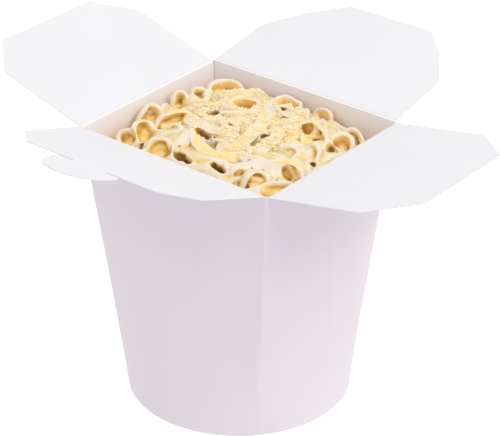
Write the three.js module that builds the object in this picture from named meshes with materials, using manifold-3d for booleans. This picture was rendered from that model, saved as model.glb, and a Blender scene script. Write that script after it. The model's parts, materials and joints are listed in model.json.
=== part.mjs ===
// Noodle takeaway box: a paper pail with a round base and a rectangular mouth, its four
// flaps folded open, full of flat noodles in cream sauce with grated cheese on top.
// Millimetres, +Z up, origin at the middle of the base. The long sides of the mouth run
// along X. The flap with the tongue is on the -Y side.
import * as THREE from 'three';
import { mergeVertices } from 'three/addons/utils/BufferGeometryUtils.js';
import Module from 'manifold-3d';

const wasm = await Module();
wasm.setup();

// ---- driving dimensions -------------------------------------------------------------
const MOUTH_X = 100;          // mouth, outside, along X
const MOUTH_Y = 87.3;         // mouth, outside, along Y
const BASE_R = 49;            // outside radius of the round base
const FOLD_Z = 123.3;         // height of the fold line of the two wide flaps
const FOLD_STEP = 0.6;        // the two narrow flaps fold this much lower, to close under
const BOARD = 0.45;           // thickness of the paperboard
const FOLD_GAP = 0.5;         // wall's top edge to the fold line above it
const FOLD_OUT = 0.25;        // fold line outside the wall's face
const ROOT = 0.3;             // fold line to the flap's own root edge
const BASE_T = 0.6;           // base disc
const CLEAR = 0.3;            // between pieces that only rest or are glued

const NOODLE_W = 6.2;         // width of a noodle
const NOODLE_T = 1.9;         // thickness of a noodle
const STRAND_STEPS = 24;      // lengths a lying noodle is made of
const FOOD_INSET = 0.9;       // noodles to the outside face of the board
const FOOD_CAP = 2.3;         // nothing in the heap is nearer the fold line than this

// Flaps: half outline from the fold outwards [half width, distance from the fold], and
// the angle at which each one stands above the horizontal.
const FLAPS = {
  flap_front: { side: [0, -1], tilt: 19, wide: true, tongue: true, half: [[49.4, 0], [47, 36.8], [34, 49.6]] },
  flap_back: { side: [0, 1], tilt: 10, wide: true, half: [[49.4, 0], [48.4, 32.5], [36.4, 50.5], [22, 64.5]] },
  flap_left: { side: [-1, 0], tilt: 16, half: [[42.9, 0], [42.9, 45], [27.4, 62]] },
  flap_right: { side: [1, 0], tilt: 10.5, half: [[42.9, 0], [42.6, 44.4], [25.8, 63.6]] },
};
const TONGUE = { half: 16.5, from: 50.6, reach: 68.5, slitTo: 8.4, slitFrom: 48.9, slitWide: 1.5 };

const PAPER = { color: 0xf1eff2, roughness: 0.72, metalness: 0 };
const PASTA = { color: 0xf3dcae, roughness: 0.42, metalness: 0 };

// ---- helpers --------------------------------------------------------------------------
const rad = (d) => (d * Math.PI) / 180;
const clamp = (v, a, b) => Math.min(b, Math.max(a, v));
const smooth = (a, b, v) => {
  const t = clamp((v - a) / (b - a), 0, 1);
  return t * t * (3 - 2 * t);
};

// One repeatable stream of numbers from 0 to 1.
function stream(seed) {
  let s = seed >>> 0;
  return () => {
    s = (Math.imul(s, 1664525) + 1013904223) >>> 0;
    return s / 4294967296;
  };
}

// A closed solid through a list of rings that all have the same number of points.
function loft(rings) {
  const n = rings[0].length;
  const pos = rings.flat(2);
  const index = [];
  for (let k = 0; k + 1 < rings.length; k += 1) {
    for (let i = 0; i < n; i += 1) {
      const a = k * n + i;
      const b = k * n + ((i + 1) % n);
      index.push(a, b, b + n, a, b + n, a + n);
    }
  }
  for (const [k, flip] of [[0, true], [rings.length - 1, false]]) {
    const c = [0, 1, 2].map((j) => rings[k].reduce((s, p) => s + p[j], 0) / n);
    const at = pos.length / 3;
    pos.push(...c);
    for (let i = 0; i < n; i += 1) {
      const a = k * n + i;
      const b = k * n + ((i + 1) % n);
      index.push(...(flip ? [at, b, a] : [at, a, b]));
    }
  }
  const g = new THREE.BufferGeometry();
  g.setAttribute('position', new THREE.Float32BufferAttribute(pos, 3));
  g.setIndex(index);
  return g;
}

function solid(geometry) {
  const g = geometry.clone();
  g.deleteAttribute('normal');
  g.deleteAttribute('uv');
  const m = mergeVertices(g, 1e-4);
  return new wasm.Manifold(new wasm.Mesh({
    numProp: 3,
    vertProperties: new Float32Array(m.attributes.position.array),
    triVerts: new Uint32Array(m.index.array),
  }));
}

function geometryOf(manifold) {
  const m = manifold.getMesh();
  const g = new THREE.BufferGeometry();
  g.setAttribute('position', new THREE.Float32BufferAttribute(m.vertProperties, 3));
  g.setIndex(new THREE.Uint32BufferAttribute(m.triVerts, 1));
  return g;
}

function named(name, geometry, look) {
  geometry.computeVertexNormals();
  const mesh = new THREE.Mesh(geometry, new THREE.MeshStandardMaterial({ ...look }));
  mesh.name = name;
  return mesh;
}

// ---- the carton ------------------------------------------------------------------------
// Horizontal section of the carton at height share w: every point of the round base is
// joined by a straight line to the point at the same share of the way round the mouth, so
// four creases start at the mouth's corners and fade out towards the base.
function section(w, z, inset, perLong, perShort) {
  const a = MOUTH_X / 2;
  const b = MOUTH_Y / 2;
  const corners = [[a, -b], [a, b], [-a, b], [-a, -b]];
  const whole = 4 * (a + b);
  const start = -b / whole;
  const ring = [];
  let walked = 0;
  for (let k = 0; k < 4; k += 1) {
    const p = corners[k];
    const q = corners[(k + 1) % 4];
    const long = Math.hypot(q[0] - p[0], q[1] - p[1]);
    const n = k % 2 ? perLong : perShort;
    for (let i = 0; i < n; i += 1) {
      const t = i / n;
      const turn = 2 * Math.PI * (start + (walked + t * long) / whole);
      const px = (p[0] + (q[0] - p[0]) * t) * (1 - inset / a);
      const py = (p[1] + (q[1] - p[1]) * t) * (1 - inset / b);
      const r = BASE_R - inset;
      ring.push([(1 - w) * r * Math.cos(turn) + w * px, (1 - w) * r * Math.sin(turn) + w * py, z]);
    }
    walked += long;
  }
  return ring;
}

function cartonVolume(z0, z1, inset, levels, perLong, perShort) {
  const rings = [];
  for (let k = 0; k <= levels; k += 1) {
    const z = z0 + ((z1 - z0) * k) / levels;
    rings.push(section(z / FOLD_Z, z, inset, perLong, perShort));
  }
  return loft(rings);
}

function wall() {
  const top = FOLD_Z - FOLD_GAP;
  const rings = [];
  const levels = 7;
  for (let k = 0; k <= levels; k += 1) rings.push(section((top * k) / levels / FOLD_Z, (top * k) / levels, 0, 14, 12));
  for (let k = levels; k >= 0; k -= 1) rings.push(section((top * k) / levels / FOLD_Z, (top * k) / levels, BOARD, 14, 12));
  const n = rings[0].length;
  const pos = rings.flat(2);
  const index = [];
  for (let k = 0; k < rings.length; k += 1) {
    const next = (k + 1) % rings.length;
    for (let i = 0; i < n; i += 1) {
      const j = (i + 1) % n;
      index.push(k * n + i, k * n + j, next * n + j, k * n + i, next * n + j, next * n + i);
    }
  }
  const g = new THREE.BufferGeometry();
  g.setAttribute('position', new THREE.Float32BufferAttribute(pos, 3));
  g.setIndex(index);
  let sleeve = solid(g);
  // The short sides end lower, by the step between the two pairs of fold lines.
  for (const s of [-1, 1]) {
    const cut = new THREE.BoxGeometry(3, MOUTH_Y - 2 * BOARD - 0.1, 4);
    cut.translate(s * (MOUTH_X / 2), 0, top - FOLD_STEP + 2);
    sleeve = sleeve.subtract(solid(cut));
  }
  return geometryOf(sleeve);
}

// ---- flaps ---------------------------------------------------------------------------
// Outline of a flap in its own plane, u along the fold and v outwards from it.
function flapShape(spec) {
  const right = spec.half.map(([u, v]) => [u, Math.max(v, ROOT)]);
  const path = [...right];
  if (spec.tongue) {
    const { half, from, reach, slitTo, slitFrom, slitWide } = TONGUE;
    // A slit runs in under the tongue from each side and leaves a rounded finger.
    path.push([half + 2.2, from - 0.6], [half - 0.6, slitFrom], [slitTo + 0.8, slitFrom]);
    path.push([slitTo, slitFrom + slitWide / 2], [slitTo + 0.8, slitFrom + slitWide]);
    path.push([half - 1.4, slitFrom + slitWide]);
    const steps = 11;
    for (let i = 0; i < steps; i += 1) {
      const t = (i / steps) * 0.5 * Math.PI;
      path.push([half * Math.cos(t) ** 0.8, from + 1.2 + (reach - from - 1.2) * Math.sin(t)]);
    }
  }
  const left = path.map(([u, v]) => [-u, v]).reverse();
  const tip = spec.tongue ? [[0, TONGUE.reach]] : [];
  const shape = new THREE.Shape();
  [...path, ...tip, ...left].forEach(([u, v], i) => (i ? shape.lineTo(u, v) : shape.moveTo(u, v)));
  shape.closePath();
  return shape;
}

function flap(spec) {
  const [sx, sy] = spec.side;
  const g = new THREE.ExtrudeGeometry(flapShape(spec), { depth: BOARD, bevelEnabled: false });
  g.translate(0, 0, -BOARD / 2);
  const t = rad(spec.tilt);
  const out = new THREE.Vector3(sx * Math.cos(t), sy * Math.cos(t), Math.sin(t));
  const up = new THREE.Vector3(-sx * Math.sin(t), -sy * Math.sin(t), Math.cos(t));
  const along = new THREE.Vector3().crossVectors(out, up);
  const frame = new THREE.Matrix4().makeBasis(along, out, up);
  const x = sx * (MOUTH_X / 2 + FOLD_OUT);
  const y = sy * (MOUTH_Y / 2 + FOLD_OUT);
  frame.setPosition(x, y, spec.wide ? FOLD_Z : FOLD_Z - FOLD_STEP);
  g.applyMatrix4(frame);
  return geometryOf(solid(g));
}

// ---- noodles --------------------------------------------------------------------------
// Height of the heap's skin: a low dome that sinks towards the walls and most of all in
// the two corners of the mouth at the ends of the tongue's side and of the back.
function heap(x, y) {
  const e = smooth(0.5, 1.02, Math.max(Math.abs(x) / 49, Math.abs(y) / 43));
  const left = Math.exp(-(((x + 50) ** 2 + (y + 43) ** 2) / 19 ** 2));
  const right = Math.exp(-(((x - 50) ** 2 + (y - 43) ** 2) / 19 ** 2));
  return FOLD_Z - 4.4 - 3.4 * e - 5.5 * (left + right);
}

// A noodle: four-sided section carried along a line, its flat side turned by `wide`, the
// direction of its width at each point.
function noodle(line, wide) {
  const rings = line.map((p, i) => {
    const a = line[Math.max(i - 1, 0)];
    const b = line[Math.min(i + 1, line.length - 1)];
    const t = new THREE.Vector3().subVectors(b, a).normalize();
    const w = wide[i].clone().addScaledVector(t, -wide[i].dot(t)).normalize();
    const n = new THREE.Vector3().crossVectors(t, w);
    const hw = NOODLE_W / 2;
    const ht = NOODLE_T / 2;
    const around = [[hw, -ht], [hw, ht], [-hw, ht], [-hw, -ht]];
    return around.map(([u, v]) => p.clone().addScaledVector(w, u).addScaledVector(n, v).toArray());
  });
  return loft(rings);
}

// Loops that stand up on their edge round the rim of the heap:
// [x, y, below the skin, radius, second radius / radius, lean, lean's bearing, start, sweep]
// lengths in mm, angles in degrees.
const LOOPS = [
  [-41.5, -5, 1.0, 6.6, 0.85, 24, 200, 60, 300],
  [-35, -19, 0.5, 7.6, 0.9, 30, 190, 200, 300],
  [-29, -7, -0.4, 7.8, 0.72, 34, 215, 130, 310],
  [-41, -29, 1.2, 5.6, 0.9, 22, 160, 20, 290],
  [-40, 36, 1.0, 6.2, 0.8, 26, 120, 250, 300],
  [-17, 20, -0.6, 8.4, 0.7, 20, 250, 330, 310],
  [21, 20, -0.2, 4.6, 1.0, 16, 250, 90, 330],
  [20, 17, 1.0, 9.2, 0.9, 22, 300, 200, 280],
  [12, 37, 0.8, 6.2, 0.8, 28, 60, 120, 300],
  [34, 22, 0.8, 5.8, 0.9, 24, 350, 40, 310],
  [35, -12, 0.0, 8.4, 0.8, 30, 330, 250, 260],
  [31, -28, 1.0, 5.6, 0.9, 40, 280, 160, 250],
  [19, -30, 0.8, 5.0, 1.0, 40, 270, 10, 250],
  [-8, 35, 0.4, 7.0, 0.8, 30, 100, 300, 290],
  [-12, -33, 1.0, 6.4, 0.85, 28, 260, 90, 300],
];

function loop([cx, cy, sink, r, squash, lean, bearing, start, sweep]) {
  const axis = new THREE.Vector3(0, 0, 1).applyAxisAngle(
    new THREE.Vector3(-Math.sin(rad(bearing)), Math.cos(rad(bearing)), 0), rad(lean));
  const e1 = new THREE.Vector3(Math.cos(rad(start)), Math.sin(rad(start)), 0);
  e1.addScaledVector(axis, -e1.dot(axis)).normalize();
  const e2 = new THREE.Vector3().crossVectors(axis, e1);
  const centre = new THREE.Vector3(cx, cy, heap(cx, cy) - NOODLE_W * 0.36 - sink);
  const line = [];
  const wide = [];
  const steps = 16;
  for (let i = 0; i <= steps; i += 1) {
    const t = i / steps;
    const a = rad(sweep) * t;
    // The ends open out and dive into the heap.
    const open = 1 + 0.5 * Math.abs(2 * t - 1) ** 4;
    const dive = -6.5 * Math.abs(2 * t - 1) ** 3;
    line.push(centre.clone()
      .addScaledVector(e1, r * open * Math.cos(a))
      .addScaledVector(e2, r * squash * open * Math.sin(a))
      .addScaledVector(axis, dive));
    wide.push(axis.clone());
  }
  return noodle(line, wide);
}

// Noodles that lie along the heap: each keeps bending one way or the other, turns back
// before the wall, and stands on its edge wherever it bends tightly, since a flat strip
// can only bend across its flat side.
function strand(random, length, lift) {
  const step = length / STRAND_STEPS;
  const edgeX = 42;
  const edgeY = 35.5;
  let x = (2 * random() - 1) * 32;
  let y = (2 * random() - 1) * 26;
  let heading = 2 * Math.PI * random();
  const bend = (0.012 + 0.03 * random()) * (random() < 0.5 ? -1 : 1);
  const sway = 0.03 * (0.4 + random());
  const phase = 2 * Math.PI * random();
  const line = [];
  const wide = [];
  let lean = 0;
  for (let i = 0; i <= STRAND_STEPS; i += 1) {
    const s = i / STRAND_STEPS;
    const outX = Math.max(Math.abs(x) - edgeX, 0);
    const outY = Math.max(Math.abs(y) - edgeY, 0);
    const home = Math.atan2(-y, -x);
    const off = Math.atan2(Math.sin(home - heading), Math.cos(home - heading));
    const k = outX + outY > 0 ? 0.125 * Math.sign(off) : bend + sway * Math.sin(9 * s + phase);
    lean += 0.6 * (smooth(0.03, 0.1, Math.abs(k)) * 1.25 * Math.sign(k) - lean);
    const ends = Math.abs(2 * s - 1) ** 6;
    const z = heap(x, y) + lift - 1.2 - 5 * ends - 1.6 * Math.abs(Math.sin(lean));
    line.push(new THREE.Vector3(x, y, z));
    wide.push(new THREE.Vector3(-Math.sin(heading) * Math.cos(lean), Math.cos(heading) * Math.cos(lean), Math.sin(lean)));
    x += step * Math.cos(heading);
    y += step * Math.sin(heading);
    heading += k * step;
  }
  return noodle(line, wide);
}

// Solid middle of the heap: it fills the carton and stops a little under the skin.
function core() {
  const body = solid(cartonVolume(BASE_T + CLEAR, FOLD_Z - FOOD_CAP, FOOD_INSET, 5, 10, 10));
  const nx = 18;
  const ny = 16;
  const lid = new THREE.PlaneGeometry(112, 98, nx, ny);
  const p = lid.attributes.position;
  const rings = [];
  for (let j = 0; j <= ny; j += 1) {
    const row = [];
    for (let i = 0; i <= nx; i += 1) {
      const at = j * (nx + 1) + i;
      const x = p.getX(at);
      const y = p.getY(at);
      const lump = Math.sin(0.42 * x + 1.3 * Math.sin(0.31 * y)) * Math.sin(0.47 * y + 1.1 * Math.sin(0.27 * x));
      row.push([x, y, heap(x, y) - 3.6 + 1.1 * lump]);
    }
    row.push([56, row[0][1], FOLD_Z + 30], [-56, row[0][1], FOLD_Z + 30]);
    rings.push(row);
  }
  return body.subtract(solid(loft(rings)));
}

// Shreds of grated cheese on the crown of the heap.
function shreds(random, count) {
  const out = [];
  for (let i = 0; i < count; i += 1) {
    const r = 24 * Math.sqrt(random());
    const a = 2 * Math.PI * random();
    const x = -4 + r * Math.cos(a) * 1.1;
    const y = 8 + r * Math.sin(a);
    const g = new THREE.BoxGeometry(5 + 5 * random(), 1.5, 1.4);
    g.rotateY(0.5 * (random() - 0.5));
    g.rotateZ(Math.PI * random());
    g.translate(x, y, heap(x, y) + 0.2 + 0.7 * random());
    out.push(solid(g));
  }
  return out;
}

function noodles() {
  const random = stream(6);
  const pieces = [core()];
  for (const spec of LOOPS) pieces.push(solid(loop(spec)));
  for (let i = 0; i < 9; i += 1) pieces.push(solid(strand(random, 120 - 3 * i, 0.5 - 0.1 * i)));
  pieces.push(...shreds(random, 18));
  const inside = solid(cartonVolume(BASE_T + CLEAR, FOLD_Z - FOOD_CAP, FOOD_INSET, 5, 10, 10));
  const whole = wasm.Manifold.union(pieces).intersect(inside).simplify(0.05);
  const parts = whole.decompose().sort((p, q) => q.volume() - p.volume());
  return geometryOf(parts[0]);
}

// ---- assembly --------------------------------------------------------------------------
const root = new THREE.Group();
root.name = 'noodle_takeaway_box';
root.add(named('box_wall', wall(), PAPER));
const disc = new THREE.CylinderGeometry(BASE_R - BOARD - CLEAR, BASE_R - BOARD - CLEAR, BASE_T, 52);
disc.rotateX(Math.PI / 2);
disc.translate(0, 0, BASE_T / 2);
root.add(named('base_disc', geometryOf(solid(disc)), PAPER));
for (const [name, spec] of Object.entries(FLAPS)) root.add(named(name, flap(spec), PAPER));
root.add(named('noodles', noodles(), PASTA));

export default root;
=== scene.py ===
# %% [markdown]
# # Noodle takeaway box
# A paper pail with a round base and a rectangular mouth. Its four flaps stand folded open
# on their creases, and it is full of flat noodles in cream sauce, with grated cheese and a
# little pepper on top. The solid model of the box is loaded first and is never moved:
# everything below is made in its frame, in metres, with +Z up.

# %% Load the frame
import json
import math
import numpy as np
import bpy
from mathutils import Matrix, Vector

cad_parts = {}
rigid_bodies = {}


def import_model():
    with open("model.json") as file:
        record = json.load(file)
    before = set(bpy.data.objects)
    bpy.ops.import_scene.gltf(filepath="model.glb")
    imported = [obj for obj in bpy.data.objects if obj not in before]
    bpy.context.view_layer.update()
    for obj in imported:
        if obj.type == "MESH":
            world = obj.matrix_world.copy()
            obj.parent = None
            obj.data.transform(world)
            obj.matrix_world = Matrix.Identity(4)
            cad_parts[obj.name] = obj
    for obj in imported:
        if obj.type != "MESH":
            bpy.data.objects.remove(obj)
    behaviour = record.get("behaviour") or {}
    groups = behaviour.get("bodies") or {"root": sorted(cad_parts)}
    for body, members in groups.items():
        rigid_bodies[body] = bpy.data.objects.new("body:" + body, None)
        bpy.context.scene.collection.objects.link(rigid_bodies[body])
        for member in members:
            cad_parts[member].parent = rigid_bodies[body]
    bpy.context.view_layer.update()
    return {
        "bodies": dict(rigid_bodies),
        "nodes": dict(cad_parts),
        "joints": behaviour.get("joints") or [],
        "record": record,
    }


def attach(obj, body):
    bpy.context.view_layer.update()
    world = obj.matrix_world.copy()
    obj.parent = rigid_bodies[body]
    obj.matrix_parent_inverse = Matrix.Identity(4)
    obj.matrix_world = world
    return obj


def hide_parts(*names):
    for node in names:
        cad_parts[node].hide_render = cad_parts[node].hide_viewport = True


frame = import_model()

# %% [markdown]
# ## Sizes
# One list of sizes in millimetres serves every piece, so that the board, its folds and the
# food fit each other. They are the sizes that a maker of such a box would write on its
# drawing: the mouth, the base, the height of the folds and the thickness of the board.

# %% Sizes of the box, in millimetres
MM = 0.001
MOUTH_X = 100.0
MOUTH_Y = 87.3
BASE_R = 49.0
FOLD_Z = 123.3
# The left and right folds lie this much lower, and every fold's line this far outside.
FOLD_STEP = 0.6
FOLD_OUT = 0.25
BOARD = 0.45
NOODLE_W = 6.2
NOODLE_T = 2.1
print("mouth", MOUTH_X, "by", MOUTH_Y, "mm, fold line at", FOLD_Z, "mm")

# %% [markdown]
# ## Making a mesh from arrays
# Every new piece is a grid of points worked out in one go and joined by four-cornered
# faces. A tube-like grid closes on itself round its section, and its two ends are closed by
# one flat face each, so a piece is always a closed body with its faces outwards.

# %% A soft step between two values
def smooth_step(low, high, value):
    """0 below low, 1 above high, and 3t^2 - 2t^3 between, with t the share of the way. With
    low above high it falls from 1 to 0 instead."""
    t = np.clip((value - low) / (high - low), 0.0, 1.0)
    return t * t * (3.0 - 2.0 * t)


print("a soft step from 0 to 4, at 0, 1, 2, 3 and 4:", smooth_step(0, 4, np.arange(5)))

# %% From arrays to a mesh object
def tube_faces(rings, around, first=0):
    """Faces of a tube of rings x around points: quads between neighbours, then two caps."""
    k = np.arange(rings - 1)[:, None]
    i = np.arange(around)[None, :]
    j = (i + 1) % around
    a = first + k * around
    quads = np.stack([a + i, a + j, a + around + j, a + around + i], axis=-1).reshape(-1, 4)
    low_cap = first + np.arange(around)[::-1]
    high_cap = first + (rings - 1) * around + np.arange(around)
    return quads, [low_cap.tolist(), high_cap.tolist()]


def make_piece(name, points, faces, marks=None, sharp=40.0):
    """A mesh object from points in mm and a list of faces. marks holds one number per point
    for each named attribute. Edges that turn more than sharp degrees stay crisp."""
    mesh = bpy.data.meshes.new(name)
    mesh.from_pydata((np.asarray(points, dtype=float) * MM).tolist(), [], faces)
    for key, values in (marks or {}).items():
        layer = mesh.attributes.new(key, "FLOAT", "POINT")
        layer.data.foreach_set("value", np.asarray(values, dtype=np.float32).ravel())
    mesh.polygons.foreach_set("use_smooth", np.ones(len(mesh.polygons), dtype=bool))
    mesh.update()
    mesh.set_sharp_from_angle(angle=math.radians(sharp))
    thing = bpy.data.objects.new(name, mesh)
    bpy.context.scene.collection.objects.link(thing)
    print(name, len(mesh.vertices), "points", len(mesh.polygons), "faces")
    return thing


print("a tube of 3 rings x 4 points has", len(tube_faces(3, 4)[0]), "quads and 2 caps")

# %% Rounding the corners of a path
PATH_STEP = 0.1


def soften(path, reach, closed=False):
    """The path with its corners rounded: each point becomes the mean of the path over reach
    mm to each side of it. The path comes back at even steps of PATH_STEP mm."""
    path = np.asarray(path, dtype=float)
    if closed:
        path = np.vstack([path, path[:1]])
    walked = np.concatenate([[0.0], np.cumsum(np.hypot(*np.diff(path, axis=0).T))])
    steps = int(walked[-1] / PATH_STEP)
    at = np.linspace(0.0, walked[-1], steps + 1)
    fine = np.stack([np.interp(at, walked, path[:, c]) for c in range(2)], axis=1)
    half = int(reach / PATH_STEP)
    if closed:
        around = np.vstack([fine[-half - 1:-1], fine[:-1], fine[:half]])
    else:
        ends = [2 * fine[:1] - fine[half:0:-1], fine, 2 * fine[-1:] - fine[-2:-half - 2:-1]]
        around = np.vstack(ends)
    kernel = np.ones(2 * half + 1) / (2 * half + 1)
    return np.stack([np.convolve(around[:, c], kernel, "valid") for c in range(2)], axis=1)


elbow = soften([(0, 0), (5, 0), (5, 5)], 1.0)
inside_corner = np.hypot(elbow[:, 0] - 5, elbow[:, 1]).min()
print("a right angle softened by 1 mm passes", round(inside_corner, 2), "mm inside its corner")

# %% [markdown]
# ## The carton
# The real carton is one printed sheet, wrapped and glued, that is round where it meets the
# base and rectangular at the mouth. Each point of the base circle is joined by a straight
# line to the point that lies the same share of the way round the mouth. That gives the
# flat-sided top, the round foot and four creases that start at the mouth's corners and fade
# out on the way down, with no crease drawn by hand.

# %% Shape of the carton
MOUTH_LENGTH = 2 * (MOUTH_X + MOUTH_Y)
CORNER = MOUTH_Y / 2 / MOUTH_LENGTH
CORNERS = np.array([CORNER, 0.5 - CORNER, 0.5 + CORNER, 1 - CORNER])
rectangle = [(MOUTH_X / 2, 0), (MOUTH_X / 2, MOUTH_Y / 2), (-MOUTH_X / 2, MOUTH_Y / 2),
             (-MOUTH_X / 2, -MOUTH_Y / 2), (MOUTH_X / 2, -MOUTH_Y / 2)]
mouth_path = soften(rectangle, 0.9, closed=True)
mouth_share = np.arange(len(mouth_path)) / len(mouth_path)


def carton_point(share, height, inset):
    """(1 - w) x circle(share) + w x mouth(share), with w = height / FOLD_Z. The inner face
    takes the circle and the mouth smaller by inset. share and height may be arrays."""
    w = height / FOLD_Z
    turn = 2 * np.pi * share
    x_mouth = np.interp(share % 1.0, mouth_share, mouth_path[:, 0], period=1.0)
    y_mouth = np.interp(share % 1.0, mouth_share, mouth_path[:, 1], period=1.0)
    x = (1 - w) * (BASE_R - inset) * np.cos(turn) + w * x_mouth * (1 - 2 * inset / MOUTH_X)
    y = (1 - w) * (BASE_R - inset) * np.sin(turn) + w * y_mouth * (1 - 2 * inset / MOUTH_Y)
    return np.stack(np.broadcast_arrays(x, y, height), axis=-1)


def shares_round(count):
    """Shares of the way round: count even steps, and nine close together at each corner."""
    near = (CORNERS[:, None] + np.linspace(-1.4, 1.4, 9)[None, :] / MOUTH_LENGTH).ravel()
    even = np.arange(count) / count
    far = np.abs(even[:, None] - CORNERS[None, :]).min(axis=1) > 1.6 / MOUTH_LENGTH
    return np.sort(np.concatenate([even[far], near]))


def narrow_side(share):
    """1 on the two narrow sides of the mouth and 0 on the wide ones."""
    corner = (MOUTH_Y / 2 - 0.7) / MOUTH_LENGTH
    from_middle = np.abs((share + 0.25) % 0.5 - 0.25)
    return smooth_step(corner, corner - 0.0006, from_middle)


print("mouth's corners lie", np.round(CORNERS, 3), "of the way round")

# %% Carton wall
RIM_DROP = 0.27


def carton_wall():
    """The sheet is a closed loop in section: up the outer face, over the cut edge at the
    mouth, down the inner face and under the foot. Each point of the section is a share w of
    the height and an inset, and it is carried once round the carton."""
    share = shares_round(300)
    top = FOLD_Z - RIM_DROP - FOLD_STEP * narrow_side(share)
    up = np.concatenate([np.linspace(0, 0.93, 44), np.linspace(0.945, 0.998, 8)])
    section = [(w, 0.0) for w in up]
    section += [(0.9995, -0.06), (1.0, 0.0), (1.0, BOARD), (0.9995, BOARD)]
    section += [(w, BOARD) for w in up[::-1]]
    w, inset = np.array(section).T[:, :, None]
    points = carton_point(share, w * top, inset)
    # The panels are not quite flat: each bellies and sinks by a fraction of a millimetre.
    belly = 0.22 * np.sin(5 * np.pi * share + 1.0) + 0.10 * np.sin(22 * np.pi * share + 3 * w)
    belly = belly * np.sin(np.pi * w) ** 2
    points[..., :2] *= (1 + belly / np.hypot(points[..., 0], points[..., 1]))[..., None]
    inside = (inset > 0) + 0 * share
    off = np.abs(share[:, None] - CORNERS).min(axis=1) * MOUTH_LENGTH
    # Painted shade: 1 down each inner corner near the mouth, where the finish darkens the board.
    crease = inside * smooth_step(0.5, 0.95, w) * smooth_step(0.62, 0.1, off)
    quads, _ = tube_faces(len(section) + 1, len(share))
    quads = quads % (len(section) * len(share))
    marks = {"inside": inside, "crease": crease}
    return make_piece("carton_wall", points.reshape(-1, 3), quads.tolist(), marks)


carton = carton_wall()
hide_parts("box_wall")
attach(carton, "carton")

# %% [markdown]
# ## The base
# A round paperboard disc closes the foot. It can't be seen with the box standing, so it is
# a plain disc with the shallow ring that pressing leaves near its edge. It is a profile of
# radius and height turned about the middle.

# %% Base disc
def pail_base():
    """Profile (radius, height) turned round Z: x = r cos a, y = r sin a."""
    outer = BASE_R - BOARD - 0.25
    under = [(0.6, 0.0), (20, 0.0), (36, 0.0), (41.6, 0.0), (42.4, 0.25), (44.2, 0.25), (45, 0.0)]
    profile = under + [(outer - 0.2, 0.0), (outer, 0.2), (outer, 0.5), (outer - 0.2, 0.7)]
    profile += [(r, z + 0.7) for r, z in under[::-1]]
    turn = np.linspace(0, 2 * np.pi, 160, endpoint=False)
    r = np.array(profile)[:, 0][:, None]
    z = np.array(profile)[:, 1][:, None]
    points = np.stack(np.broadcast_arrays(r * np.cos(turn), r * np.sin(turn), z), axis=-1)
    quads, caps = tube_faces(len(profile), len(turn))
    return make_piece("pail_base", points.reshape(-1, 3), quads.tolist() + caps)


base = pail_base()
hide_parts("base_disc")
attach(base, "carton")

# %% [markdown]
# ## The flaps
# Each flap is the same sheet carried on past its fold. A flap is made as a flat tube: at
# every distance from the fold it has a thin rounded section as wide as the flap is there.
# The list of widths then gives any outline, the slits beside the tongue included, and a
# slight bow can be added, because board that has been folded is never quite flat. The
# first sections are rounded about the fold line itself, so the fold stays closed at every
# angle.

# %% Flap outlines
# name: side of the mouth, tilt above the horizontal in degrees, and half of the outline as
# points of half width and distance from the fold.
FLAPS = {
    "flap_front": ((0, -1), 19.0, [(49.4, 0), (47, 36.8), (34, 49.2), (20, 49.2)]),
    "flap_back": ((0, 1), 10.0, [(49.4, 0), (48.4, 32.5), (36.4, 50.5), (22, 64.5), (8, 64.5)]),
    "flap_left": ((-1, 0), 16.0, [(42.9, 0), (42.9, 45), (27.4, 62), (10, 62)]),
    "flap_right": ((1, 0), 10.5, [(42.9, 0), (42.6, 44.4), (25.8, 63.6), (10, 63.6)]),
}
BOW_ACROSS = 0.12
BOW_ALONG = 0.10
# The tongue: distance from the fold and half width, in along the flap's edge, out along the
# two sides of its neck, and back out to its root, from which it is a rounded arch.
TONGUE_NECK = [(49.2, 33.0), (49.22, 9.0), (49.5, 8.4), (50.3, 8.4),
               (50.58, 9.0), (50.6, 14.6), (50.9, 15.7), (51.6, 16.3)]
TONGUE_DIP_FROM = 49.6
TONGUE_ROOT = 51.8
TONGUE_HALF = 16.5
TONGUE_REACH = 68.5


def outline_rows(half_outline, tongue):
    """Rows (distance from the fold, half width, share of the board's thickness): the rounded
    fold, then every 22nd point of the softened outline and every 4th near its bends, and then
    either the thin cut edge or the tongue, where v = root + reach sin a and
    u = half cos^0.8 a."""
    path = soften(half_outline, 1.3)
    reach = half_outline[-1][1]
    keep = path[path[:, 1] < reach - 0.03]
    pick = np.unique(np.concatenate([np.arange(0, len(keep), 22), [len(keep) - 1]]))
    bends = np.array([v for u, v in half_outline[1:-1]])
    close = np.abs(keep[:, 1][:, None] - bends[None, :]).min(axis=1) < 2.2
    pick = np.unique(np.concatenate([pick, np.nonzero(close)[0][::4]]))
    rows = [(v, half_outline[0][0], t) for v, t in ((-0.22, 0.2), (-0.2, 0.5), (-0.12, 0.85))]
    rows += [(v, u, 1.0) for u, v in keep[pick]]
    if not tongue:
        last_u, last_v = rows[-1][1], rows[-1][0]
        return rows + [(last_v + 0.03, last_u - 0.3, 0.9), (last_v + 0.1, last_u - 0.6, 0.4)]
    rows += [(v, u, 1.0) for v, u in TONGUE_NECK]
    for turn in np.radians(np.linspace(4, 87, 22)):
        v = TONGUE_ROOT + (TONGUE_REACH - TONGUE_ROOT) * math.sin(turn)
        rows.append((v, TONGUE_HALF * math.cos(turn) ** 0.8, 1.0))
    return rows


for name, (side, tilt, half_outline) in FLAPS.items():
    print(name, "reaches", half_outline[-1][1], "mm, tilted", tilt, "degrees")

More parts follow.
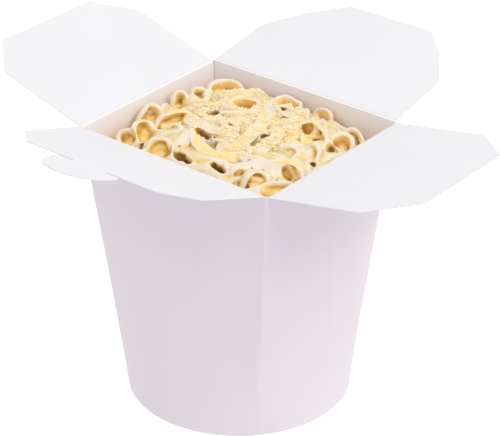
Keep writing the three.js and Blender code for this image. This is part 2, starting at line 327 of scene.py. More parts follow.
# %% Flap sheets
def flap_sheet(name, side, tilt, half_outline):
    """x = fold + u along + v out + n up, where the bow adds BOW_ACROSS (u / 45)^2 +
    BOW_ALONG (v / 60)^2 mm to n, both fading to nothing at the fold."""
    tongue = name == "flap_front"
    rows = np.array(outline_rows(half_outline, tongue))
    t = np.linspace(-1, 1, 44)
    v, half, share = rows.T[:, :, None]
    thick = BOARD / 2 * share
    edge = half + 0.1 * share
    u = np.hstack([half * t, edge, -half * t, -edge])
    n = np.hstack([thick + 0 * t, 0 * thick, 0 * t - thick, 0 * thick])
    v = np.broadcast_to(v, u.shape)
    fade = smooth_step(0, 14, v)
    n = n + fade * (BOW_ACROSS * (u / 45) ** 2 + BOW_ALONG * (v / 60) ** 2)
    if tongue:
        # The tongue dips a little from the line of its slits.
        n = n - 0.05 * np.clip(v - TONGUE_DIP_FROM, 0, None)
    angle = math.radians(tilt)
    sx, sy = side
    out = np.array([sx * math.cos(angle), sy * math.cos(angle), math.sin(angle)])
    up = np.array([-sx * math.sin(angle), -sy * math.sin(angle), math.cos(angle)])
    along = np.cross(out, up)
    drop = FOLD_STEP if sx else 0.0
    fold = np.array([sx * (MOUTH_X / 2 + FOLD_OUT), sy * (MOUTH_Y / 2 + FOLD_OUT), FOLD_Z - drop])
    points = fold + u[..., None] * along + v[..., None] * out + n[..., None] * up
    quads, caps = tube_faces(len(rows), points.shape[1])
    return make_piece(name + "_sheet", points.reshape(-1, 3), quads.tolist() + caps)


BODIES = {"flap_front": "front_flap", "flap_back": "back_flap",
          "flap_left": "left_flap", "flap_right": "right_flap"}
flap_sheets = []
for node, (side, tilt, half_outline) in FLAPS.items():
    sheet = flap_sheet(node, side, tilt, half_outline)
    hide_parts(node)
    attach(sheet, BODIES[node])
    flap_sheets.append(sheet)

# %% [markdown]
# ## How high the noodles stand
# The heap has a skin: a low dome that sinks towards the walls and most of all in two
# corners of the mouth. Noodles that lie flat stay under it, and the loops that stand on
# their edge come up through it. Inside a real loop, and at an open gap, one looks down into
# the heap. Leaving room for that while noodles are laid at random is hard, so the hollows
# are pressed in at the end, as a fingertip would: whatever is in the way is pushed down.

# %% Loops of the heap
# Each loop is a ring of noodle that leans. Its numbers: x, y and drop of the rim's centre,
# radius up and across, lean and bearing of its axis, turn in its own plane, start and
# sweep of the ring, flare of the band, thickness, and depth of the hollow behind its rim.
LOOPS = {
    "left": (-32.5, -22.7, 4.5, 5.5, 5.0, 40, -35, 0, -70, 255, 0, 2.4, 4.5),
    "left_long": (-29.8, -8.3, 3.5, 7.8, 3.5, 42, -51, -46, -60, 300, 0, 2.3, 5),
    "back_left": (-41.9, -8.7, 4.5, 4.7, 5.1, 38, -45, 0, -110, 225, 0, 2.2, 4.5),
    "left_corner": (-37.0, -28.5, 7.0, 4.0, 3.8, 38, -60, 0, -80, 230, 0, 2.2, 4),
    "small_left": (-42.1, 11.7, 4.5, 3.0, 3.2, 35, -40, 0, -110, 220, 0, 2.0, 0),
    "smallest": (-39.6, 20.5, 4.5, 2.8, 2.7, 30, -60, 0, -110, 220, 0, 2.0, 3),
    "back": (-34.4, 33.2, 4.5, 4.6, 6.5, 12, -51, 0, -125, 250, 0, 2.2, 4),
    "crown": (-15.0, 21.8, 2.0, 4.9, 6.1, 8, -51, 0, 190, 345, 0, 2.5, 6),
    "vee": (-4.3, 36.5, 4.0, 5.0, 6.6, 4, -51, 8, 175, 330, 0, 2.2, 5),
    "right_back": (14.6, 38.9, 4.5, 3.4, 3.5, 28, -115, 0, 200, 320, 0, 2.2, 6),
    "round_hole": (20.4, 21.6, 3.0, 3.8, 3.7, 50, -51, 0, 150, 345, 0, 2.8, 7),
    "round_it": (24.6, 14.0, 3.2, 9.2, 8.0, 40, -51, 0, 160, 185, 0, 2.4, 0),
    "right": (36.2, 23.8, 6.0, 4.2, 4.8, 38, -45, 0, 170, 335, 0, 2.5, 5),
    "right_low": (35.4, 17.8, 7.2, 2.6, 2.8, 45, -60, 0, 150, 330, 0, 2.0, 6),
    "right_corner": (35.7, 27.5, 9.0, 7.6, 6.8, 38, -45, 0, -110, 120, 0, 2.2, 0),
    "front_arc": (35.8, -17.3, 3.6, 7.4, 7.9, 40, -85, 0, -120, 150, 15, 2.5, 0),
    "small_tunnel": (23.2, -27.8, 4.6, 2.9, 3.3, 58, -51, 0, -120, 240, 0, 2.2, 0),
    "big_tunnel": (32.8, -28.6, 5.2, 4.9, 4.9, 58, -51, 0, -110, 220, 0, 2.2, 0),
    "front": (42.5, -27.5, 6.5, 5.0, 8.0, 30, -51, 0, -90, 180, 0, 2.2, 2.5),
    "cream_arch": (-18.0, -29.5, 6.0, 5.0, 5.8, 55, -51, 0, -75, 150, 0, 2.4, 3),
}
print(len(LOOPS), "loops, the widest", 2 * max(spec[4] for spec in LOOPS.values()), "mm across")

# %% Open gaps
# Pressed into the heap from the front: x, y and drop, half length, half width and turn of
# the opening, depth, and how much more painted shade it gets down there than its depth gives.
GAPS = {
    "front_left": (-5.0, -30.0, 5.5, 3.9, 1.6, -42, 7, 4),
    "front_low": (12.4, -28.7, 5, 3.4, 1.3, -45, 7, 5),
    "hollow": (-10.7, -10.5, 3.8, 4.2, 1.4, -40, 6, 3),
    "middle": (12.1, 2.8, 2.5, 2.0, 1.1, 0, 5, 4),
    "middle_small": (12.7, -2.2, 2.5, 1.0, 0.7, 0, 4, 3),
    "cheese_gap": (-19.5, 6.5, 3.4, 2.8, 2.0, 25, 7, 3),
    "vee_low": (7.2, 22.1, 3, 2.6, 1.1, -10, 4, 1),
    "vee_brown": (0.6, 28.7, 3.5, 1.4, 1.0, -50, 4, 2),
    "right_brown": (39.1, 0.2, 6, 1.1, 1.5, 0, 6, 6),
    "under_round": (22.8, 14.0, 3, 0.8, 1.2, 0, 3, 1),
    "far_left": (-35.5, -26.3, 9, 1.6, 1.2, 0, 4, 0),
    "left_low": (-18.4, -28.3, 7, 1.6, 1.2, -20, 3, 0),
    "tunnel_left": (28.5, -30.2, 8, 1.2, 1.6, 30, 4, 2),
    "round_inside": (20.0, 22.1, 3.5, 2.3, 2.3, 0, 6, 1),
    "arc_inside": (37.4, -14.6, 5.0, 1.6, 3.0, 20, 4, 1),
}
# Bearing that most loops and gaps open to, in plan.
OPEN_TO = -51.0
FACING = math.radians(OPEN_TO)
print(len(GAPS), "gaps open to", OPEN_TO, "degrees")

# %% Skin of the heap
def skin(x, y):
    """Height of the heap: the fold line less 4.4, less 3.4 near a wall, less 9 in the two
    low corners of the mouth."""
    edge = smooth_step(0.5, 1.02, np.maximum(np.abs(x) / 49, np.abs(y) / 43))
    low_left = np.exp(-((x + 50) ** 2 + (y + 43) ** 2) / 20.0 ** 2)
    low_right = np.exp(-((x - 50) ** 2 + (y - 43) ** 2) / 20.0 ** 2)
    return FOLD_Z - 4.4 - 3.4 * edge - 9.0 * (low_left + low_right)


# A grid over the mouth, with cells of this size in mm.
CELL = 0.5
grid_x = np.arange(-50, 50 + CELL, CELL)
grid_y = np.arange(-44, 44 + CELL, CELL)
mesh_x, mesh_y = np.meshgrid(grid_x, grid_y)
print("skin from", round(skin(mesh_x, mesh_y).min(), 1), "to", round(skin(mesh_x, mesh_y).max(), 1))

# %% Where loops and gaps point
def loop_axis(lean, bearing):
    """Unit vector that leans from the vertical by lean towards the bearing."""
    flat = math.sin(math.radians(lean))
    turn = math.radians(bearing)
    return np.array([flat * math.cos(turn), flat * math.sin(turn), math.cos(math.radians(lean))])


def loop_frame(x, y, drop, lean, bearing, turn):
    """Rim's centre, axis, and the two directions of the rim's plane: up and across."""
    axis = loop_axis(lean, bearing)
    turn = FACING + math.pi + math.radians(turn)
    e1 = np.array([math.cos(turn), math.sin(turn), 0.0])
    e1 = e1 - axis * (e1 @ axis)
    e1 /= np.linalg.norm(e1)
    return np.array([x, y, FOLD_Z - drop]), axis, e1, np.cross(axis, e1)


GAP_LEAN = 50.0


def gap_frame(x, y, drop, turn):
    """Centre, direction that the opening faces, and the two directions across it."""
    toward = loop_axis(GAP_LEAN, OPEN_TO)
    right = np.array([-math.sin(FACING), math.cos(FACING), 0.0])
    up = np.cross(toward, right)
    turn = math.radians(turn)
    return (np.array([x, y, FOLD_Z - drop]), toward, math.cos(turn) * right + math.sin(turn) * up,
            math.cos(turn) * up - math.sin(turn) * right)


def in_frame(points, centre, axis, e1, e2, r1, r2):
    """Depth t behind the opening, and q, the distance from its axis as a share of r1, r2."""
    away = points - centre
    return -(away @ axis), np.hypot(away @ e1 / r1, away @ e2 / r2)


middle_gap = gap_frame(*GAPS["middle"][:3], GAPS["middle"][5])
print("the middle gap faces", np.round(middle_gap[1], 2))

# %% Pressing hollows in
LOOP_FIRM = (0.72, 0.95)
GAP_FIRM = (1.0, 1.15)
# Half the room for food at the fold line, in x and y, and how much the wall takes of it for
# each mm further down.
ROOM = (49.0, 42.7)
WALL_SLOPE = 0.14


def pressed(points, frame, r1, r2, depth, firm):
    """Points less axis x w x (depth - t), with w 1 inside the opening and 0 beyond it or 9 mm
    in front of it. firm holds the shares q at which w starts to fall and is gone."""
    t, q = in_frame(points, *frame, r1, r2)
    w = smooth_step(firm[1], firm[0], q) * smooth_step(-9.0, -7.0, t)
    return points - (w * np.maximum(0.0, depth - t))[..., None] * frame[1]


def press_all(points, but=None):
    """The hollows of all loops but one, and all gaps, pressed into these points, which are
    then kept inside the carton. A loop's own band takes no gaps."""
    for name, (x, y, drop, up, across, lean, bearing, turn, *_, hollow) in LOOPS.items():
        if hollow and name != but:
            frame = loop_frame(x, y, drop, lean, bearing, turn)
            points = pressed(points, frame, up, across, hollow, LOOP_FIRM)
    if but is None:
        for x, y, drop, long, wide, turn, depth, _ in GAPS.values():
            points = pressed(points, gap_frame(x, y, drop, turn), long, wide, depth, GAP_FIRM)
    room = np.array(ROOM) - WALL_SLOPE * np.clip(FOLD_Z - points[..., 2:], 0, 40)
    points[..., :2] = np.clip(points[..., :2], -room, room)
    return points


def hidden_from_light(points):
    """Depth below the skin, and more inside the gaps by their extra darkness. The finishes paint
    shade from it.
    """
    depth = skin(points[:, 0], points[:, 1]) - points[:, 2]
    for x, y, drop, long, wide, turn, _, extra_shade in GAPS.values():
        t, q = in_frame(points, *gap_frame(x, y, drop, turn), long, wide)
        depth = depth + extra_shade * smooth_step(1.9, 1.0, q) * smooth_step(0.8, 3.0, t)
    return depth


gap_x, gap_y, gap_drop = GAPS["hollow"][:3]
probe = press_all(np.array([[gap_x, gap_y, FOLD_Z - gap_drop]]))
print("a gap presses a point", round(FOLD_Z - gap_drop - probe[0, 2], 1), "mm down")

# %% Room under the shut flaps
# Underside of the left flap when it is folded shut, at its fold, its fall inwards in mm per
# mm, and its reach. The right flap rests on it and takes over between these two x.
SHUT_LEFT = FOLD_Z - 0.9
SHUT_FALL = 0.0195
SHUT_REACH = FLAPS["flap_left"][2][-1][1]
SHUT_RIGHT = FOLD_Z - 1.1
HANDOVER = (12, 20)


def kept_under(points, clear, knee=1.5):
    """Above c - knee, z becomes c - knee e^((c - knee - z) / knee), with c that much clear of
    the flaps folded shut. What stands higher is bent over, and no flap touches food."""
    x = points[..., 0]
    left = SHUT_LEFT - SHUT_FALL * np.clip(x + MOUTH_X / 2, 0, SHUT_REACH)
    share = smooth_step(*HANDOVER, x)
    low = left + share * (SHUT_RIGHT - left) - clear - knee
    z = points[..., 2]
    z = np.minimum(z, low) + knee * (1 - np.exp(-np.maximum(0, z - low) / knee))
    return np.concatenate([points[..., :2], z[..., None]], axis=-1)


towers = np.array([[-40.0, 0.0, FOLD_Z + 5], [0.0, 0.0, FOLD_Z + 5], [40.0, 0.0, FOLD_Z + 5]])
print("5 mm above the folds comes down to", np.round(kept_under(towers, 0.8)[:, 2], 1))

# %% [markdown]
# ## Laying noodles down
# Real noodles settle one on another. That can be copied without a simulation: a map of the
# heap's height is kept, each noodle's path is drawn in plan, and the noodle is lifted to
# rest on the highest thing under it, kept from bending too steeply, and then added to the
# map. A flat strip bends easily only across its flat side, so wherever a path turns tightly
# the noodle is leaned up on its edge.

# %% Height map of the heap
CORE_UNDER = 9.0


def core_height(x, y):
    """Hidden middle of the heap, CORE_UNDER mm under the skin, with lumps of about 1 mm."""
    lump = np.sin(0.42 * x + 1.3 * np.sin(0.31 * y)) * np.sin(0.47 * y + 1.1 * np.sin(0.27 * x))
    return skin(x, y) - CORE_UNDER + 0.9 * lump


height_map = core_height(mesh_x, mesh_y)


def cells(x, y):
    """Row and column of the map's cells that hold these points."""
    row = np.clip(np.rint((y - grid_y[0]) / CELL).astype(int), 0, len(grid_y) - 1)
    column = np.clip(np.rint((x - grid_x[0]) / CELL).astype(int), 0, len(grid_x) - 1)
    return row, column


def blur(values, reach):
    """Mean of each value and its neighbours along the first axis, weighted by a bell that
    has fallen to e^-0.5 at reach places away."""
    half = int(3 * reach)
    weight = np.exp(-0.5 * (np.arange(-half, half + 1) / reach) ** 2)
    weight /= weight.sum()
    padded = np.concatenate([np.repeat(values[:1], half, axis=0), values,
                             np.repeat(values[-1:], half, axis=0)])
    return np.apply_along_axis(lambda line: np.convolve(line, weight, "valid"), 0, padded)


print("map of", height_map.shape, "cells, core up to", round(height_map.max(), 1), "mm")

# %% Resting one noodle on the heap
# Distance between the points of a noodle's path, in mm, and the steepest that it climbs.
STEP = 1.2
CLIMB = 0.45


def rest_on_heap(x, y, lean, width, thick, under):
    """Heights of a noodle's middle line. Need = highest cell across the strip + half its
    upright extent. Then z(s) = max over t of need(t) - CLIMB |s - t|, which carries it over
    humps without a kink, softened, and held under the skin less `under`."""
    heading = np.arctan2(np.gradient(y), np.gradient(x))
    flat = np.abs(np.cos(lean))
    upright = np.abs(np.sin(lean))
    across = np.linspace(-1, 1, 7)[None, :] * (flat * width / 2 + upright * thick / 2)[:, None]
    px = x[:, None] - np.sin(heading)[:, None] * across
    py = y[:, None] + np.cos(heading)[:, None] * across
    below = height_map[cells(px, py)]
    extent = upright * width / 2 + flat * thick / 2
    need = below.max(axis=1) * flat + below.mean(axis=1) * upright + extent * (1 - 0.35 * upright)
    s = np.arange(len(x)) * STEP
    gap = np.abs(s[:, None] - s[None, :])
    # Where the noodle crosses itself, the later stretch lies on the earlier one.
    apart = np.hypot(x[:, None] - x[None, :], y[:, None] - y[None, :])
    crossing = (apart < width * 0.8) & (s[:, None] - s[None, :] > 2.5 * width)
    on_itself = np.where(crossing, need[None, :] + thick, -np.inf).max(axis=1)
    need = np.maximum(need, on_itself)
    z = blur((need[None, :] - CLIMB * gap).max(axis=1), 2.4)
    top = skin(x, y) - under - extent
    return np.where(z > top, top + 0.1 * (z - top), z)


def add_to_map(rings):
    """Raises the map's cells under a noodle's surface to that surface."""
    fine = np.linspace(0, len(rings) - 1, len(rings) * 3)
    low = np.floor(fine).astype(int)
    high = np.minimum(low + 1, len(rings) - 1)
    share = (fine - low)[:, None, None]
    points = rings[low] * (1 - share) + rings[high] * share
    between = 0.5 * (points + np.roll(points, 1, axis=1))
    points = np.concatenate([points, between], axis=1).reshape(-1, 3)
    np.maximum.at(height_map, cells(points[:, 0], points[:, 1]), points[:, 2])


straight = np.linspace(-20, 20, 34)
resting = rest_on_heap(straight, 0 * straight, 0 * straight, NOODLE_W, NOODLE_T, 4.0)
print("a straight noodle would rest between", round(resting.min(), 1), "and", round(resting.max(), 1))

# %% [markdown]
# ## One noodle as a surface
# A noodle is a strip 6 mm wide and 2 mm thick with rounded edges. Its fourteen-sided section
# is carried along its middle line. The direction of its width is given at each point, and
# the section's other direction is square to both. Small slow ripples in the width and a
# little frill at the edges keep any two from looking the same.

# %% Noodle surface
SECTION = np.array([(1, 0), (0.96, 0.55), (0.82, 0.9), (0.4, 1.0), (-0.4, 1.0), (-0.82, 0.9),
                    (-0.96, 0.55), (-1, 0), (-0.96, -0.55), (-0.82, -0.9), (-0.4, -1.0),
                    (0.4, -1.0), (0.82, -0.9), (0.96, -0.55)])


def noodle_rings(line, wide, width, thick, phase):
    """point = line + W u w(s) + N v t(s). T runs along the line, W is `wide` made square to
    T, N = T x W, and (u, v) goes once round SECTION."""
    tangent = np.gradient(line, axis=0)
    tangent /= np.linalg.norm(tangent, axis=1)[:, None]
    w = wide - (wide * tangent).sum(axis=1)[:, None] * tangent
    w /= np.linalg.norm(w, axis=1)[:, None]
    n = np.cross(tangent, w)
    s = np.concatenate([[0.0], np.cumsum(np.linalg.norm(np.diff(line, axis=0), axis=1))])
    ripple = 1 + 0.05 * np.sin(0.19 * s + phase) + 0.03 * np.sin(0.57 * s + 2 * phase)
    coat = 1 + 0.12 * np.sin(0.33 * s + 5 * phase) + 0.08 * np.sin(0.83 * s + phase)
    frill = 0.18 * np.sin(0.30 * s + 3 * phase)[:, None] * SECTION[:, 0][None, :] ** 2
    ends = np.minimum(1, (np.minimum(s, s[-1] - s) + 0.3) / 1.2) ** 0.5
    u = SECTION[:, 0][None, :] * (width / 2 * ripple * ends)[:, None]
    v = SECTION[:, 1][None, :] * (thick / 2 * ends * coat)[:, None] + frill
    return line[:, None, :] + u[..., None] * w[:, None, :] + v[..., None] * n[:, None, :]


strip = np.stack([straight, 0 * straight, resting], axis=1)
rings = noodle_rings(strip, np.tile([0.0, 1.0, 0.0], (len(strip), 1)), NOODLE_W, NOODLE_T, 0.0)
print("its surface is", np.round(np.ptp(rings.reshape(-1, 3), axis=0), 1), "mm in x, y and z")


def join_noodles(pieces):
    """Points and faces of many noodles, one after the other."""
    points = []
    faces = []
    first = 0
    for rings in pieces:
        quads, caps = tube_faces(*rings.shape[:2], first)
        faces += quads.tolist() + caps
        points.append(rings.reshape(-1, 3))
        first += len(points[-1])
    return np.concatenate(points), faces


# %% Paths of the lying noodles
# Half the area that the paths may cross, and half the area that they start in.
REACH_X, REACH_Y = 43.5, 37.5
START_X, START_Y = 42, 35


def wander(count, length, rng):
    """Plan paths of many noodles at once: the heading turns by k per mm, where k is a steady
    bend plus two slow waves, and turns back hard where the path nears a wall. The starts are
    spread over the cells of a square, one a cell."""
    cells_across = int(math.ceil(math.sqrt(count * 1.15)))
    index = rng.permutation(cells_across ** 2)[:count]
    x = ((index % cells_across) + rng.random(count)) / cells_across * 2 * START_X - START_X
    y = ((index // cells_across) + rng.random(count)) / cells_across * 2 * START_Y - START_Y
    heading = rng.random(count) * 2 * np.pi
    bend = (0.01 + 0.035 * rng.random(count)) * rng.choice([-1, 1], count)
    wave = 0.02 + 0.03 * rng.random(count)
    phase = rng.random((2, count)) * 2 * np.pi
    pitch = 35 + 30 * rng.random(count)
    track = []
    turning = []
    for s in np.arange(int(length / STEP)) * STEP:
        outside = np.maximum(np.abs(x) / REACH_X, np.abs(y) / REACH_Y)
        toward = np.arctan2(-y, -x) - heading
        toward = np.arctan2(np.sin(toward), np.cos(toward))
        k = bend + wave * np.sin(2 * np.pi * s / pitch + phase[0])
        k = k + 0.01 * np.sin(2 * np.pi * s / 23 + phase[1])
        steer = smooth_step(0.86, 1.0, outside)
        k = k * (1 - steer) + 0.13 * np.sign(toward) * steer * (np.abs(toward) > 0.4)
        track.append(np.stack([x, y]))
        turning.append(k)
        x = x + STEP * np.cos(heading)
        y = y + STEP * np.sin(heading)
        heading = heading + k * STEP
    return np.array(track), np.array(turning)


sample_track, _ = wander(9, 60, np.random.default_rng(1))
print("nine sample paths end", np.round(np.hypot(*(sample_track[-1] - sample_track[0]))), "mm away")

# %% Lay the noodles
rng = np.random.default_rng(11)
WALL_X = 46.0
WALL_Y = 40.4


def lay_noodles(count, length, under, rng):
    """Wanders, leans, rests and adds count noodles, and gives back their surfaces. The lean
    grows to 1.2 radians where the path turns tightly, and the ends dive 5 s^10 mm."""
    track, turning = wander(count, length, rng)
    wall = np.array([WALL_X, WALL_Y])[None, :, None]
    track = blur(np.clip(track, -wall, wall), 1.2)
    pieces = []
    tilt_noise = rng.normal(0, 0.2, count)
    phases = rng.random(count) * 6.28  # a full turn, near enough
    widths = NOODLE_W * (0.9 + 0.2 * rng.random(count))
    for k in range(count):
        x, y = track[:, 0, k], track[:, 1, k]
        lean = np.sign(turning[:, k]) * 1.2 * smooth_step(0.02, 0.11, np.abs(turning[:, k]))
        lean = blur(lean, 5.0) + tilt_noise[k]
        z = rest_on_heap(x, y, lean, widths[k], NOODLE_T, under[k])
        s = np.linspace(-1, 1, len(x))
        z = z - 5.0 * np.abs(s) ** 10
        heading = np.arctan2(np.gradient(y), np.gradient(x))
        wide = np.stack([-np.sin(heading) * np.cos(lean), np.cos(heading) * np.cos(lean),
                         np.sin(lean)], axis=1)
        rings = noodle_rings(np.stack([x, y, z], axis=1), wide, widths[k], NOODLE_T, phases[k])
        add_to_map(rings)
        pieces.append(rings)
    return pieces


deep = lay_noodles(30, 100, 6.2 - 0.4 * rng.random(30), rng)
middle = lay_noodles(24, 90, np.linspace(4.8, 3.2, 24), rng)
print("laid", len(deep) + len(middle), "noodles")

# %% [markdown]
# ## Loops and long ribbons on top
# What one sees first are the noodles on top: loops that stand on their edge, with the light
# on their thin rims and gold inside, and a few long ribbons that run over the heap. A loop
# is a ring about a leaning axis, with the strip's width along that axis. A ribbon goes
# through a few points and is tilted to one side, as a strip is that has slid off its
# neighbour.

# %% Standing loops
def loop_surface(spec, phase):
    """Ring point = centre + up cos a E1 + across sin a E2, in the plane square to the axis.
    The band lies behind its rim, its ends open outwards by up to a quarter and dive by
    4 |c|^4 mm, with c going from -1 to 1 and a little past along it."""
    x, y, drop, up, across, lean, bearing, turn, start, sweep, flare, thick, _ = spec
    centre, axis, e1, e2 = loop_frame(x, y, drop, lean, bearing, turn)
    start, sweep, flare = np.radians([start, sweep, flare])
    count = int(sweep * (up + across) / 2 / 0.6) + 16
    c = np.linspace(-1.12, 1.12, count)
    angle = start + sweep * (c + 1) / 2
    radial = up * np.outer(np.cos(angle), e1) + across * np.outer(np.sin(angle), e2)
    wobble = 1 + 0.05 * np.sin(2 * angle + phase) + 0.04 * np.sin(3 * angle + 2 * phase)
    spread = 1 + 0.25 * smooth_step(0.55, 1.15, np.abs(c)) ** 2
    line = centre + radial * (wobble * spread)[:, None]
    line = line + np.outer(0.5 * np.sin(2 * angle + 3 * phase), axis)
    line[:, 2] -= 4.0 * np.abs(c) ** 4
    outward = radial / np.linalg.norm(radial, axis=1)[:, None]
    flare = (flare + 0.22 * np.sin(angle + phase))[:, None]
    wide = np.cos(flare) * axis + np.sin(flare) * outward
    line = line - wide * NOODLE_W / 2
    line[:, 0] = np.clip(line[:, 0], -WALL_X, WALL_X)
    line[:, 1] = np.clip(line[:, 1], -WALL_Y, WALL_Y)
    return noodle_rings(blur(line, 1.0), wide, NOODLE_W, thick, phase)


loops = [loop_surface(spec, 1.7 * i) for i, spec in enumerate(LOOPS.values())]
print(len(loops), "loops stand up to", round(max(ring[..., 2].max() for ring in loops), 1), "mm")

# %% Bends thrown between them
# Places where the sauce lies open, and how far a bend stays from these, a loop and a gap.
OPEN_SAUCE = [(24, -14), (31, -20), (27, -22), (26, 8), (-14, -18), (0, -24)]
CLEAR_OF_HOLES = 6.5
FRONT_Y = -20.0


def bends(count, rng):
    """Parts of larger loops, thrown at random over the heap and left out where they would
    cover a named loop, a gap or open sauce, and along the front. One row each, with the
    numbers of a loop."""
    x = rng.uniform(-42, 42, count)
    y = rng.uniform(-37, 37, count)
    holes = np.array([spec[:2] for spec in (*LOOPS.values(), *GAPS.values())] + OPEN_SAUCE)
    away = np.hypot(x[:, None] - holes[None, :, 0], y[:, None] - holes[None, :, 1]).min(axis=1)
    drop = FOLD_Z - skin(x, y) + rng.uniform(-1.2, 1.0, count)
    size = rng.uniform(4.5, 9.0, (2, count))
    lean = rng.uniform(12, 45, count)
    bearing = OPEN_TO + rng.uniform(-70, 70, count)
    start = rng.uniform(-180, 180, count)
    sweep = rng.uniform(110, 220, count)
    flare = rng.uniform(0, 45, count)
    rows = np.stack([x, y, drop, size[0], size[1], lean, bearing, 0 * x, start, sweep, flare,
                     0 * x + NOODLE_T, 0 * x], axis=1)
    return rows[(away > CLEAR_OF_HOLES) & (y > FRONT_Y)]


thrown = [loop_surface(spec, 2.9 * i) for i, spec in enumerate(bends(52, rng))]
print(len(thrown), "bends")

# %% Paths of the long ribbons
# name: tilt in degrees, points x, y and drop below the fold line.
RIBBONS = {
    "long_front": (52, [(-20.5, -4.2, 2.8), (-12.4, -13.3, 2.2), (-5.8, -19.5, 2.0),
                        (1.5, -23.0, 2.0), (7.7, -22.7, 2.4), (11.9, -19.4, 3.0),
                        (13.5, -11.1, 3.8)]),
    "under_front": (50, [(-13.7, -17.5, 6.0), (-9.7, -22.5, 5), (-1.3, -28.6, 4.5),
                         (5.5, -28.4, 4.5), (10.2, -26.4, 4.2), (14.9, -22.0, 4.5)]),
    "rim_front": (35, [(-8.8, -29.9, 10), (0.3, -31.4, 9), (7.6, -31.7, 8.5),
                       (15.4, -32.8, 8.5), (22.8, -34.0, 9), (28.0, -33.5, 10)]),
    "mass_fall": (60, [(-18.4, -6.0, 4.5), (-14.7, -15.0, 2.8), (-12.3, -22.0, 3.6),
                       (-12.0, -27.3, 6.2), (-12.0, -32.3, 11)]),
    "diagonal": (38, [(4.6, -18.6, 3.6), (8.0, -13.4, 1.6), (8.4, -7.5, 0.8), (6.9, -0.3, 0.8),
                      (4.5, 8.0, 1.2), (-0.3, 18.6, 2.4)]),
    "left_over": (30, [(-31.2, 0.0, 5), (-21.8, -4.8, 2.4), (-13.4, -6.3, 1.2),
                       (-7.5, -6.8, 1.2), (-3.1, -4.3, 1.6), (-4.3, 2.2, 2.8)]),
    "right_down": (38, [(-8.4, 44.0, 6), (-1.0, 32.7, 2.6), (5.7, 25.9, 1.6), (13.6, 17.9, 1.6),
                        (19.6, 9.9, 3.4)]),
    "right_fall": (35, [(4.5, 38.7, 5), (8.2, 32.7, 2.8), (11.9, 27.5, 1.8), (15.7, 23.3, 2.4)]),
    "right_band": (60, [(12.4, 35.7, 5), (16.7, 33.4, 6), (20.7, 30.4, 8), (24.7, 27.4, 11)]),
    "right_rim": (40, [(38.3, 29.4, 10), (41.4, 20.2, 9), (42.4, 12.7, 8.5), (42.6, 3.8, 8.5),
                       (41.8, -4.7, 9)]),
    "right_side": (40, [(30.2, 23.3, 8), (35.8, 14.7, 8), (39.5, 9.8, 7.5), (40.2, 4.8, 7.5),
                        (38.2, -1.8, 8)]),
    "white_edge": (45, [(34.5, 12.2, 6.5), (34.0, 4.7, 5.0), (31.5, -2.5, 5.0),
                        (34.0, -7.5, 5.6)]),
    "corner_front": (45, [(34.6, -34.8, 10), (36.7, -30.9, 8), (39.0, -26.3, 7),
                          (40.9, -21.2, 7), (41.5, -15.5, 8)]),
    "left_in": (35, [(-37.7, -0.3, 5.5), (-27.9, -9.9, 4.4), (-21.4, -14.6, 3.8)]),
    "back_edge": (35, [(-40.9, 11.3, 6), (-38.2, 16.1, 5.0), (-35.4, 22.2, 4.4),
                       (-34.6, 28.0, 5)]),
    "crown_front": (40, [(-24.8, 14.8, 4), (-17.4, 13.4, 2.4), (-9.8, 14.2, 1.6),
                         (-4.9, 18.3, 2.0), (-4.4, 25.4, 3.5)]),
    "back_over": (30, [(-36.0, 22.0, 5), (-28.5, 23.8, 3.2), (-23.0, 28.6, 2.6),
                       (-17.9, 34.6, 3.2), (-14.0, 40.0, 5)]),
    "centre_left": (35, [(-30.8, 9.8, 4.5), (-24.3, 4.4, 2.8), (-17.7, 1.0, 1.8),
                         (-9.6, 3.2, 1.4), (-4.1, 8.8, 1.8), (-2.0, 14.2, 3)]),
    "centre_right": (38, [(9.7, 13.4, 2.6), (14.4, 8.7, 1.6), (16.8, 2.6, 1.6), (16.1, -5.0, 2),
                          (19.8, -11.1, 3.5)]),
}
print(len(RIBBONS), "ribbons go through", sum(len(path) for _, path in RIBBONS.values()), "points")

# %% Long ribbons
def ribbon_surface(tilt, points, phase):
    """A line through the points in even steps, rounded by a blur. It tilts towards FACING by
    tilt x cos(the angle between its side and that bearing), and its ends dive 5 c^6 mm."""
    points = np.array(points, dtype=float)
    walked = np.concatenate([[0.0], np.cumsum(np.hypot(*np.diff(points[:, :2], axis=0).T))])
    at = np.linspace(0, walked[-1], int(walked[-1] / 0.8))
    line = np.stack([np.interp(at, walked, points[:, c]) for c in range(3)], axis=1)
    line = blur(line, 4.0)
    c = np.linspace(-1, 1, len(line))
    line[:, 2] = FOLD_Z - line[:, 2] - NOODLE_T / 2 - 5.0 * c ** 6
    heading = np.arctan2(np.gradient(line[:, 1]), np.gradient(line[:, 0]))
    side = np.stack([-np.sin(heading), np.cos(heading), 0 * heading], axis=1)
    toward = side[:, 0] * math.cos(FACING) + side[:, 1] * math.sin(FACING)
    lean = -math.radians(tilt) * toward
    wide = side * np.cos(lean)[:, None] + np.outer(np.sin(lean), (0, 0, 1))
    return noodle_rings(line, wide, NOODLE_W, NOODLE_T, phase)


ribbons = [ribbon_surface(tilt, points, 2.3 * i)
           for i, (tilt, points) in enumerate(RIBBONS.values())]
for rings in loops + thrown + ribbons:
    add_to_map(rings)
print("ribbons reach", round(max(rings[..., 2].max() for rings in ribbons), 1), "mm")

# %% [markdown]
# ## The middle of the heap
# Through the gaps between noodles the eye meets more noodles and sauce, dark gold. One
# closed body fills the box under the heap: it follows the carton's inside up to the heap
# and closes over the top in rings that shrink to the middle.

# %% Heap core
# Heights of the core's foot and of the last ring against the wall, and its gap to the board.
CORE_FOOT = 1.2
CORE_RIM = FOLD_Z - 22.0
CORE_GAP = 0.5


